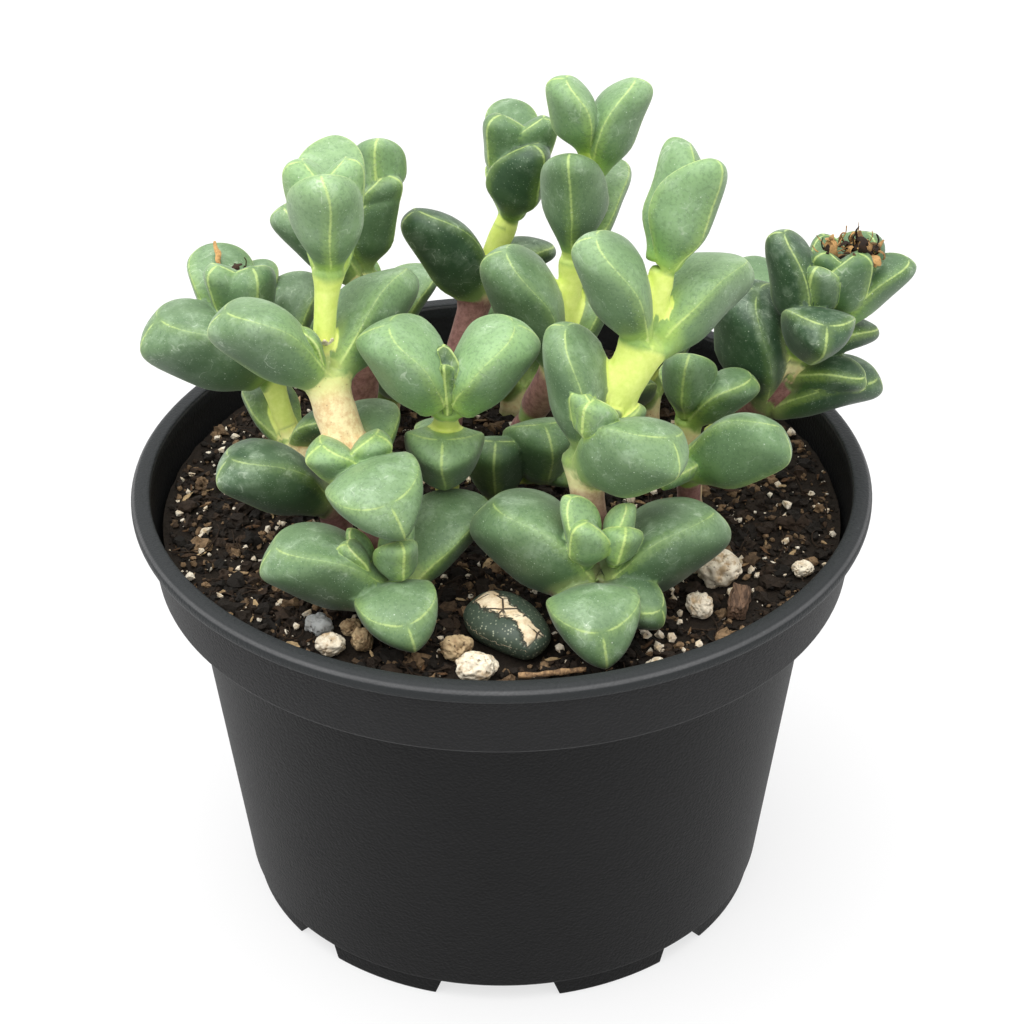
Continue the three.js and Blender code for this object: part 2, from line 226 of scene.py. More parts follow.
lamp_place = Vector((-0.35, -0.2, 1.2))
lamp_data = bpy.data.lights.new("lamp_above", "AREA")
lamp_data.size = 1.6
lamp_data.energy = 14
lamp = bpy.data.objects.new("lamp_above", lamp_data)
scene.collection.objects.link(lamp)
lamp.location = lamp_place
lamp.rotation_euler = (aim - lamp_place).to_track_quat("-Z", "Y").to_euler()

bpy.ops.mesh.primitive_plane_add(size=60, location=(0, 0, 0))
floor = name_newest("floor")
floor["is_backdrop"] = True
print("lamp", round((lamp_place - aim).length, 2), "m from the plant, floor", floor.dimensions.x, "m wide")

# %% [markdown]
# ## Writing materials as sums
# A finish is easier to read as arithmetic than as a tangle of boxes. One small class wraps a socket, so that a sum
# or product of two of them adds the Math node that works it out, and a second one adds any other node in one call.

# %% Materials as sums
class Signal:
    """The output of a node, ready to be used in arithmetic"""

    def __init__(self, finish, socket):
        self.finish = finish
        self.socket = socket

    def combine(self, operation, first, second):
        return self.finish.node("ShaderNodeMath", {"operation": operation}, {0: first, 1: second})

    def __add__(self, other):
        return self.combine("ADD", self, other)

    __radd__ = __add__

    def __mul__(self, other):
        return self.combine("MULTIPLY", self, other)

    __rmul__ = __mul__

    def __sub__(self, other):
        return self.combine("SUBTRACT", self, other)

    def __rsub__(self, other):
        return self.combine("SUBTRACT", other, self)

    def __truediv__(self, other):
        return self.combine("DIVIDE", self, other)


class Finish:
    """A material that is built up node by node"""

    def __init__(self, name, **constants):
        self.material = bpy.data.materials.new(name)
        self.material.use_nodes = True
        self.tree = self.material.node_tree
        self.shader = self.tree.nodes["Principled BSDF"]
        for socket, value in constants.items():
            self.shader.inputs[socket.replace("_", " ").title().replace("Ior", "IOR")].default_value = value
        self.place = self.node("ShaderNodeTexCoord", output="Object")

    def node(self, kind, settings=None, sockets=None, output=0):
        """Any node: its settings come first, then the values or links of its sockets"""
        node = self.tree.nodes.new(kind)
        for setting, value in (settings or {}).items():
            setattr(node, setting, value)
        for socket, value in (sockets or {}).items():
            if isinstance(value, Signal):
                self.tree.links.new(value.socket, node.inputs[socket])
            else:
                node.inputs[socket].default_value = value
        return Signal(self, node.outputs[output])

    def mark(self, name):
        """A number that is stored on the piece's points"""
        return self.node("ShaderNodeAttribute", {"attribute_name": name}, output="Fac")

    def clouds(self, size, detail=3, roughness=0.5, place=None):
        """Soft noise from 0 to 1, with features of a size in millimetres"""
        sockets = {"Vector": place or self.place, "Scale": 1 / (size * mm), "Detail": detail, "Roughness": roughness}
        return self.node("ShaderNodeTexNoise", None, sockets)

    def cells(self, size, feature="F1"):
        """Distance in a cell pattern, with cells of a size in millimetres"""
        sockets = {"Vector": self.place, "Scale": 1 / (size * mm)}
        return self.node("ShaderNodeTexVoronoi", {"feature": feature}, sockets, output="Distance")

    def step(self, value, low, high):
        """0 below low, 1 above high, and smooth between; falls where low is above high"""
        sockets = {"Value": value, "From Min": min(low, high), "From Max": max(low, high)}
        rise = self.node("ShaderNodeMapRange", {"interpolation_type": "SMOOTHSTEP"}, sockets)
        return rise if low < high else 1 - rise

    def mix(self, share, first, second):
        """A colour between two colours; sockets 6 and 7 of a Mix node take the colours, and output 2 gives one"""
        first, second = ((*colour, 1) if isinstance(colour, tuple) else colour for colour in (first, second))
        return self.node("ShaderNodeMix", {"data_type": "RGBA"}, {0: share, 6: first, 7: second}, output=2)

    def absolute(self, value):
        return self.node("ShaderNodeMath", {"operation": "ABSOLUTE"}, {0: value})

    def upright_part(self, vector):
        """The Z part of a place or a direction"""
        return self.node("ShaderNodeSeparateXYZ", None, {0: vector}, output="Z")

    def bump(self, height, distance, strength=1, under=None):
        """Relief of a depth in millimetres"""
        sockets = {"Height": height, "Distance": distance * mm, "Strength": strength}
        if under is not None:
            sockets["Normal"] = under
        return self.node("ShaderNodeBump", None, sockets)

    def feed(self, **links):
        """Link signals to the shader and hand the material over"""
        for socket, signal in links.items():
            self.tree.links.new(signal.socket, self.shader.inputs[socket.replace("_", " ").title()])
        return self.material


# %% [markdown]
# The floor should read as white paper. A bright base colour would also throw green and grey light back up under the
# leaves, so it is a mid grey that glows evenly, and the glow makes up the rest of the white.

# %% Floor finish
floor_finish = Finish("floor_white", base_color=(0.22, 0.22, 0.22, 1), roughness=0.8, specular_ior_level=0,
                      emission_color=(1, 1, 1, 1), emission_strength=0.7)
floor.data.materials.append(floor_finish.material)

# %% [markdown]
# ## Pot
# A nursery pot is one thin shell, shot into a mould: a flat rim with a rounded lip, a wider band under it that lets
# pots stack, a slightly conical body and a low foot ring with notches that let water out. It could be a stack of
# cylinders, but one outline that is spun round the axis keeps the wall's real thickness everywhere. The outline is
# drawn by extruding a point, corner by corner, and its sharp turns get small arcs, as a mould has.

# %% Pot measures
rim_radius, rim_height, rim_lip, rim_width = 54, 67.3, 2.3, 2.9
band_top_radius, band_foot_radius, band_foot_height = 52.2, 50.65, 54.6
body_top_radius, body_foot_radius = 46.1, 39.3
foot_radius, foot_height, foot_width = 38.5, 3.2, 2
pot_wall = 1.1
pot_steps = 160

pot_outline = [
    # radius, height, and the radius of the corner
    (0, foot_height - 0.2, 0),
    (foot_radius - foot_width, foot_height - 0.2, 0.2),
    (foot_radius - foot_width, 0, 0.25),
    (foot_radius, 0, 0.4),
    (foot_radius, foot_height - 0.5, 0.2),
    (body_foot_radius, foot_height, 0.5),
    (body_top_radius, band_foot_height, 0.4),
    (band_foot_radius, band_foot_height, 0.5),
    (band_top_radius, rim_height - rim_lip - 0.1, 0.15),
    (band_top_radius + 0.25, rim_height - rim_lip + 0.25, 0.12),
    (rim_radius - 0.2, rim_height - rim_lip, 0.5),
    (rim_radius, rim_height - 0.9, 0.8),
    (rim_radius - 1.0, rim_height, 0.8),
    (rim_radius - rim_width, rim_height, 0.5),
    (band_top_radius - pot_wall, rim_height - rim_lip, 0.5),
    (band_foot_radius - pot_wall, band_foot_height + pot_wall, 0.4),
    (body_top_radius - pot_wall, band_foot_height + pot_wall, 0.4),
    (body_foot_radius - pot_wall, foot_height + pot_wall, 0.5),
    (0, foot_height + pot_wall, 0),
]


def round_corners(outline, arc_points=4):
    """Replace each corner of an outline by a small arc, as points in the XZ plane"""
    rounded = []
    corners = [Vector((radius, height)) for radius, height, _ in outline]
    for index, (corner, (_, _, size)) in enumerate(zip(corners, outline)):
        if size == 0:
            rounded.append(corner)
            continue
        before = corners[index - 1] - corner
        after = corners[index + 1] - corner
        reach = min(size, before.length * 0.45, after.length * 0.45)
        start, end = corner + before.normalized() * reach, corner + after.normalized() * reach
        for step in range(arc_points):
            share = step / (arc_points - 1)
            rounded.append(start.lerp(corner, share).lerp(corner.lerp(end, share), share))
    return rounded


def draw_outline(name, points):
    """Extrude one point from corner to corner, in millimetres from the pot's axis"""
    bpy.ops.mesh.primitive_plane_add(size=mm, location=at(points[0].x, 0, points[0].y))
    bpy.ops.object.mode_set(mode="EDIT")
    bpy.ops.mesh.select_all(action="SELECT")
    bpy.ops.mesh.merge(type="CENTER")
    for here, there in zip(points, points[1:]):
        stride = ((there.x - here.x) * mm, 0, (there.y - here.y) * mm)
        bpy.ops.mesh.extrude_region_move(TRANSFORM_OT_translate={"value": stride})
    bpy.ops.object.mode_set(mode="OBJECT")
    return name_newest(name)


def spin_outline(piece, steps):
    """Spin an outline once round the pot's axis"""
    select_only(piece)
    bpy.ops.object.mode_set(mode="EDIT")
    bpy.ops.mesh.select_all(action="SELECT")
    bpy.ops.mesh.spin(steps=steps, angle=2 * math.pi, center=pot_axis, axis=(0, 0, 1))
    bpy.ops.object.mode_set(mode="OBJECT")
    settle(piece)
    clean_shell(piece)


# %% Pot shell
pot = draw_outline("nursery_pot", round_corners(pot_outline))
spin_outline(pot, pot_steps)
print("pot shell", len(pot.data.vertices), "points")

# %% [markdown]
# The foot ring is cut through by four wide and four narrow notches with sloping sides, and the floor has seven
# round holes. Each cutter is a primitive put where the real tool's pin is, and a Boolean modifier takes it away.

# %% Notches and drain holes
notch_turn = -1.5
notch_top = foot_height - 0.4
wide_notch, narrow_notch = 13, 6
drain_radius, drain_distance = 3.5, 26


def notch_cutter(azimuth, half_angle):
    """A wedge across the foot ring, one degree wider to each side at its foot than halfway up"""
    low_width = 2 * foot_radius * math.tan(math.radians(half_angle + 1))
    high_width = 2 * foot_radius * math.tan(math.radians(half_angle - 1))
    bpy.ops.mesh.primitive_cube_add(size=1, location=(0, 0, 0))
    cutter = name_newest("notch_cutter")
    places = places_of(cutter)
    high = places[:, 2] > 0
    places[:, 2] = np.where(high, notch_top, -1)
    places[:, 1] *= np.where(high, high_width, low_width)
    places[:, 0] = foot_radius - foot_width / 2 + places[:, 0] * 4 * foot_width
    set_places(cutter, places * mm)
    cutter.rotation_euler = (0, 0, math.radians(azimuth + notch_turn))
    cutter.location = pot_axis
    return cutter


def drain_cutter(x, y):
    bpy.ops.mesh.primitive_cylinder_add(vertices=32, radius=drain_radius * mm, depth=12 * mm, location=at(x, y, 0))
    return name_newest("drain_cutter")


cutters = [notch_cutter(azimuth, wide_notch) for azimuth in (0, 90, 180, 270)]
cutters += [notch_cutter(azimuth, narrow_notch) for azimuth in (45, 135, 225, 315)]
cutters += [drain_cutter(0, 0)]
cutters += [drain_cutter(drain_distance * math.cos(turn), drain_distance * math.sin(turn))
            for turn in np.radians(range(0, 360, 60))]
for cutter in cutters:
    shape_with(pot, "BOOLEAN", operation="DIFFERENCE", solver="MANIFOLD", object=cutter)
    bpy.data.objects.remove(cutter)
select_only(pot)
bpy.ops.object.shade_smooth_by_angle(angle=math.radians(35))
print("pot with notches", len(pot.data.polygons), "faces")

# %% [markdown]
# Black polypropylene comes out of a grained mould with a fine leathery skin, and is smoother on the rim, where hands
# and other pots rub it and leave pale scuffs. The band and the rim face upwards, so their colour is painted a little
# greyer than the body's, as painted light. Grain is only bump here, because it is far finer than a millimetre. A thin
# lighter line along the rim's edge and the foot of the band is a painted highlight, where light catches the rounded
# plastic.

# %% Pot finish
def pot_finish():
    finish = Finish("black_pot_plastic", specular_ior_level=0.14)
    height = finish.upright_part(finish.place) / mm
    rim_foot = rim_height - rim_lip
    rim = finish.step(height, rim_foot - 0.4, rim_foot + 0.6)
    band = finish.step(height, band_foot_height - 0.4, band_foot_height + 0.3)
    wear_and_highlight = finish.clouds(9, 4)
    grain = finish.clouds(0.45, 2, 0.6)
    scuffs = finish.step(finish.clouds(1.6, 5, 0.7), 0.66, 0.74) * finish.step(finish.clouds(14), 0.45, 0.6)
    dust = finish.step(finish.clouds(0.5, 2), 0.7, 0.78) * 0.25
    body = finish.mix(wear_and_highlight, (0.003, 0.003, 0.0032), (0.0055, 0.0055, 0.0058))
    # painted light: the band and the rim are painted greyer than the body, because they face up towards the light
    plain = finish.mix(band, body, finish.mix(wear_and_highlight, (0.009, 0.009, 0.0095), (0.014, 0.014, 0.0145)))
    plain = finish.mix(rim, plain, (0.022, 0.024, 0.025))
    # painted highlight: thin lighter lines at the foot of the band and along the rim's edge, where light catches the
    # rounded plastic
    for level in (band_foot_height + 0.1, rim_height - 0.55):
        edge = finish.step(finish.absolute(height - level), 0.3, 0.08)
        plain = finish.mix(edge * (0.25 + wear_and_highlight * 0.6), plain, (0.11, 0.11, 0.112))
    marked = finish.mix(scuffs * (0.06 + rim * 0.3) + dust * 0.15, plain, (0.16, 0.17, 0.18))
    roughness = 0.47 - rim * 0.07 + grain * 0.12
    relief = finish.bump(grain, 0.2, 0.8)
    return finish.feed(base_color=marked, roughness=roughness, normal=relief)


finish_piece(pot, pot_finish(), "pot_plastic", "pot")

# %% [markdown]
# ## Leaves
# Each leaf is a short three-edged block: a nearly flat top between two margins, and a keel below that gives it a
# boat's chin at the tip. The edges are rounded by their firm skin. One leaf is modelled as a pattern, a cylinder
# whose long sides are cut into rows and whose points then take the leaf's section and outline. Copies of it, each
# with its own length, girth and bend, make all the others, because they differ in little else.

# %% Leaf pattern
leaf_rows = (0, 0.07, 0.15, 0.24, 0.34, 0.44, 0.54, 0.63, 0.71, 0.785, 0.85, 0.905, 0.945, 0.972, 0.99)
top_shares = (0.87, 0.46, 0, -0.46, -0.87)
side_shares = (0.09, 0.3, 0.55, 0.78, 0.94)
section_points = 2 * len(side_shares) + len(top_shares) + 3


def blunt(along, start, power, roundness):
    """1 as far as the start, and then down to 0 at the tip along a round curve"""
    past = np.clip((along - start) / (1 - start), 0, 1)
    return (1 - past ** power) ** roundness


def leaf_half_width(along):
    return 0.5 * (0.54 + 0.46 * smooth_step(0, 0.46, along)) * blunt(along, 0.55, 2.4, 0.55)


def leaf_swell(along):
    return blunt(along, 0.5, 2.2, 0.6)


def leaf_keel(along):
    return 0.66 * (0.48 + 0.52 * smooth_step(0, 0.4, along)) * leaf_swell(along)


def section_at(step, along):
    """Across and up, for one point of the section of a leaf one unit wide"""
    half, keel, swell = leaf_half_width(along), leaf_keel(along), leaf_swell(along)
    outline = [(half, 0)]
    outline += [(half * share, 0.12 * swell * (1 - share * share)) for share in top_shares]
    outline.append((-half, 0))
    slope = Vector((keel, half))
    slope = slope / max(slope.length, 1e-6)
    for side, shares in ((-1, side_shares), (1, side_shares[::-1])):
        if side == 1:
            outline.append((0, -keel))
        for share in shares:
            bulge = 0.14 * swell * 4 * share * (1 - share)
            outline.append((side * (half * (1 - share) + slope.x * bulge), -keel * share - slope.y * bulge))
    return outline[step]


def select_edges(piece, chosen):
    """Go to edit mode with just the chosen edges selected"""
    select_only(piece)
    bpy.ops.object.mode_set(mode="EDIT")
    bpy.ops.mesh.select_mode(type="EDGE")
    bpy.ops.mesh.select_all(action="DESELECT")
    bpy.ops.object.mode_set(mode="OBJECT")
    piece.data.edges.foreach_set("select", chosen)
    bpy.ops.object.mode_set(mode="EDIT")


def tube_pattern(name, sides, rows):
    """A closed tube along X from 0 to 1, cut into rows"""
    bpy.ops.mesh.primitive_cylinder_add(
        vertices=sides, radius=1, depth=1, end_fill_type="TRIFAN", location=(0.5, 0, 0), rotation=(0, math.pi / 2, 0))
    tube = name_newest(name)
    settle(tube)
    ends = np.array([edge.vertices[:] for edge in tube.data.edges])
    run = places_of(tube)[:, 0]
    select_edges(tube, np.abs(run[ends[:, 0]] - run[ends[:, 1]]) > 0.5)
    bpy.ops.mesh.subdivide(number_cuts=rows - 2)
    bpy.ops.object.mode_set(mode="OBJECT")
    return tube


leaf_pattern = tube_pattern("leaf_pattern", section_points, len(leaf_rows))
points = places_of(leaf_pattern)
rows = np.rint(points[:, 0] * (len(leaf_rows) - 1)).astype(int)
steps = np.rint(np.arctan2(points[:, 2], points[:, 1]) / (2 * math.pi) * section_points).astype(int) % section_points
on_axis = np.hypot(points[:, 1], points[:, 2]) < 0.5
for index, (row, step) in enumerate(zip(rows, steps)):
    if on_axis[index]:
        points[index] = (1 if row else 0, 0, -0.2 if row == 0 else 0)
    else:
        points[index] = (leaf_rows[row], *section_at(step, leaf_rows[row]))
set_places(leaf_pattern, points)
clean_shell(leaf_pattern, 1e-7)
shape_with(leaf_pattern, "SUBSURF", levels=1, render_levels=1)

pattern = places_of(leaf_pattern)
along_leaf = np.clip(pattern[:, 0], 0, 1)
edge_half, edge_keel = leaf_half_width(along_leaf), leaf_keel(along_leaf)
from_margins = np.hypot(np.abs(pattern[:, 1]) - edge_half, pattern[:, 2])
from_keel = np.hypot(pattern[:, 1], pattern[:, 2] + edge_keel)
pattern_edge = np.minimum(from_margins, from_keel)
pattern_keelness = from_margins / (from_margins + from_keel + 1e-6)
print("leaf pattern", len(pattern), "points")

# %% [markdown]
# A leaf is laid out by its heading round the pot, its climb and its roll. Its margins arch upwards and its keel
# runs ahead of them towards the tip. A leaf that stands upright is slimmer at its foot, because its partner presses
# on it there. Each copy bends and twists a little, and soft noise keeps the faces uneven. The points also carry what
# the finish needs to know: how far the nearest edge and the leaf's foot are, how old the leaf is, and how pale.

# %% Headings, copies and unevenness
def direction(heading, climb):
    heading, climb = math.radians(heading), math.radians(climb)
    flat = math.cos(climb)
    return Vector((flat * math.cos(heading), flat * math.sin(heading), math.sin(climb)))


def copy_pattern(pattern_piece, name):
    piece = pattern_piece.copy()
    piece.data = pattern_piece.data.copy()
    piece.name = piece.data.name = name
    scene.collection.objects.link(piece)
    return piece


def put_away(pattern_piece):
    """Take a pattern out of the scene, where only its copies are wanted"""
    for collection in pattern_piece.users_collection:
        collection.objects.unlink(pattern_piece)


# without a seed, vector noise starts from the clock, and each run would shape the leaves a little differently
noise.seed_set(7)


def uneven(places, size, depth, seed):
    """Move points by soft noise with features of a size and a depth in millimetres"""
    shift = Vector((seed * 7.3, seed * 3.1, seed * 5.7))
    waves = [noise.noise_vector(Vector(place) / size + shift) for place in places]
    return places + np.array(waves) * depth


# %% One leaf of a shoot
leaf_marks = ("edge", "margin", "foot", "share", "tone", "age")
usual_girth = 0.6
leaf_arch = 0.16
leaf_chin = 0.45
leaf_bend, leaf_twist = 0.05, 6
glow_depth = 2.5


def how_upright(climb):
    return smooth_step(55, 78, climb)


def add_leaf(name, joint, heading, climb, length, girth=usual_girth, roll=0, drop=0, age=0, tone=0.5, seed=0):
    """A copy of the pattern: angles in degrees, girth as a share of the length, drop as the depth of its foot"""
    draw = random.Random(seed)
    place = Vector(joint) - Vector((0, 0, drop))
    width = girth * length
    along = direction(heading, climb)
    up = Matrix.Rotation(math.radians(-roll), 3, along) @ direction(heading, climb + 90)
    across = up.cross(along)
    run, side, rise = pattern[:, 0], pattern[:, 1], pattern[:, 2]
    bend = draw.uniform(-leaf_bend, leaf_bend) * length
    twist = math.radians(draw.uniform(-leaf_twist, leaf_twist))
    chin = leaf_chin * np.maximum(0, -rise * width) * smooth_step(0.2, 0.8, run)
    turned_side = side * np.cos(twist * run) - rise * np.sin(twist * run)
    turned_rise = side * np.sin(twist * run) + rise * np.cos(twist * run)
    narrow = width * (1 - 0.42 * how_upright(climb) * (1 - smooth_step(0, 0.42, run)))
    ahead = run * length + chin
    sideways = turned_side * narrow + bend * run * run
    upwards = turned_rise * narrow + leaf_arch * length * np.sin(math.pi * np.clip(run, 0, 1) ** 1.2)
    spot = np.array(place) + np.outer(ahead, along) + np.outer(sideways, across) + np.outer(upwards, up)
    spot = uneven(spot, 7, 0.35, seed)
    leaf = copy_pattern(leaf_pattern, name)
    set_places(leaf, np.array(pot_axis) + spot * mm)
    note_on_points(leaf, "edge", pattern_edge * width)
    note_on_points(leaf, "margin", from_margins * width)
    glow_place = np.array(place) - np.array((0, 0, glow_depth))
    lift = 2.2 * pattern_keelness + 2.5 * smooth_step(-0.12, 0.02, rise)
    note_on_points(leaf, "foot", np.linalg.norm(spot - glow_place, axis=1) + lift)
    note_on_points(leaf, "on_leaf", np.ones(len(run)))
    note_on_points(leaf, "share", run)
    note_on_points(leaf, "age", np.full(len(run), age))
    note_on_points(leaf, "tone", np.full(len(run), tone + draw.uniform(-0.1, 0.1)))
    return leaf


# %% [markdown]
# ## Stems
# A stem is round, thin above each joint and thick just below the next one, where the keels of two leaves run down
# it. Young lengths are a bright yellow green, older ones turn beige and then brown. The same cut tube as for the
# leaf, with its points put round a smooth path, gives a closed stem whose thickness is free at every row. A length
# of stem is stouter the older it is, and two front stems have one length that is stouter than its age tells.

# %% Stem path and thickness
root_depth = 7
row_offsets = (0.3, 1.2, 2.6)
flare_offsets = (5.2, 4.2, 3.2, 2.3, 1.5, 0.8, 0.35)
stem_radii = {"lowest": (2.5, 2.5), "old": (2.1, 2.6), "young": (1.4, 1.95), "stout": (2.75, 3.3)}
stout_lengths = {"front_left": 4, "front_right": 4}
far_off = 9


def smooth_path(stops, reach):
    """A point of the smooth curve through the stops; reach counts stops from the root"""
    index = min(int(reach), len(stops) - 2)
    rest = reach - index
    here, there = stops[index], stops[index + 1]
    before = stops[index - 1] if index else here * 2 - there
    after = stops[index + 2] if index + 2 < len(stops) else there * 2 - here
    square, cube = rest * rest, rest ** 3
    return (here * (2 * cube - 3 * square + 1) + (there - before) * 0.5 * (cube - 2 * square + rest)
            + there * (3 * square - 2 * cube) + (after - here) * 0.5 * (cube - square))


def stem_stations(stops, flares, stout):
    """Where a stem is drawn: stops from the root, radius, age, and distance below the next joint"""
    stations = [(0, 2.3, len(stops) - 1, far_off)]
    for index in range(len(stops) - 1):
        length = (stops[index + 1] - stops[index]).length
        old = len(stops) - 2 - index
        kind = "lowest" if index == 0 else "stout" if index == stout else "young" if old < 2 else "old"
        thin, thick = stem_radii[kind]
        flare = max(flares[index + 1], thin * 0.9)
        offsets = [value for value in row_offsets if value < length * 0.45]
        middle = np.linspace(3.6, length - 6, max(1, int((length - 8) / 2))) if length > 10 else []
        offsets += list(middle) + [length - value for value in flare_offsets if value < length * 0.55]
        for offset in offsets:
            share, below = offset / length, length - offset
            radius = thin + (thick - thin) * share
            radius += (flare - radius) * float(1 - smooth_step(0.4, 3.8, below)) * (1 if index else 0.3)
            stations.append((index + share, radius, old + 1 - share, below))
    stations.append((len(stops) - 1.02, 1.2, 0, 0.2))
    return stations


# %% One stem
stem_sides = 24


def add_stem(name, stops, flares, stout, seed):
    """A stem through its stops; flares are its half widths just below each stop"""
    stations = stem_stations(stops, flares, stout)
    stem = tube_pattern(name, stem_sides, len(stations))
    points = places_of(stem)
    rows = np.rint(points[:, 0] * (len(stations) - 1)).astype(int)
    turns = np.arctan2(points[:, 2], points[:, 1])
    in_rim = np.hypot(points[:, 1], points[:, 2]) > 0.5
    rings = []
    for reach, radius, _, _ in stations:
        here = smooth_path(stops, reach)
        ahead = smooth_path(stops, min(len(stops) - 1, reach + 0.05)) - smooth_path(stops, max(0, reach - 0.05))
        ahead.normalize()
        first = (Vector((1, 0, 0)) - ahead * ahead.x).normalized()
        rings.append((here, first * radius, ahead.cross(first) * radius))
    for index, (row, turn) in enumerate(zip(rows, turns)):
        here, first, second = rings[row]
        points[index] = here + (first * math.cos(turn) + second * math.sin(turn)) * float(in_rim[index])
    points = uneven(points, 4, 0.2, seed)
    set_places(stem, np.array(pot_axis) + points * mm)
    for layer in ("on_leaf", *leaf_marks):
        note_on_points(stem, layer, np.zeros(len(points)))
    clean_shell(stem)
    return stem


# %% [markdown]
# The finish has to know where a shoot shows its stem and where its leaves. So each point is told how far it lies off
# the stem's thickness, how old the stem is there, and how bare: the green of a leaf runs down the stem a little as a
# collar on the side that the leaf grows from, and up into the fork between two leaves.

# %% What the stem tells its points
stem_samples = 30
collar_reach = 2.2
fork_reach = 2


def mark_stem(piece, stops, flares, stout, headings, older):
    """Note how far each point is off the stem, the stem's age there, and how bare of leaves the stem is"""
    stations = sorted(stem_stations(stops, flares, stout))
    reaches = np.linspace(0, stations[-1][0], stem_samples * len(stops))
    radii, ages, belows = (np.interp(reaches, [station[0] for station in stations],
                                     [station[column] for station in stations]) for column in (1, 2, 3))
    places = (places_of(piece) - np.array(pot_axis)) / mm
    gaps, nearest = np.full(len(places), 99.0), np.zeros(len(places), int)
    for index, (reach, radius) in enumerate(zip(reaches, radii)):
        gap = np.linalg.norm(places - np.array(smooth_path(stops, reach)), axis=1) - radius
        closer = gap < gaps
        gaps[closer], nearest[closer] = gap[closer], index
    note_on_points(piece, "gap", gaps)
    since, years = older
    note_on_points(piece, "stem_age", ages[nearest] + years * smooth_step(since - 0.2, since + 0.3, ages[nearest]))
    note_on_points(piece, "below", belows[nearest])
    joint_gaps = [np.linalg.norm(places - np.array(stop), axis=1) for stop in stops[2:]]
    above = np.where(belows[nearest] < 2.5, far_off, np.minimum.reduce(joint_gaps) if joint_gaps else far_off)
    middles = np.array([smooth_path(stops, reach) for reach in reaches])[nearest]
    outwards = np.arctan2(places[:, 1] - middles[:, 1], places[:, 0] - middles[:, 0])
    covered = np.zeros(len(places))
    for index, turns in enumerate(headings):
        under = np.ceil(reaches[nearest]) == index
        for turn, climb in turns:
            lean = math.cos(math.radians(climb))
            covered[under] = np.maximum(covered[under], lean * np.cos(outwards[under] - math.radians(turn)))
    bare = np.minimum(belows[nearest] - collar_reach * covered, np.maximum(0, above - fork_reach))
    note_on_points(piece, "bare", bare)
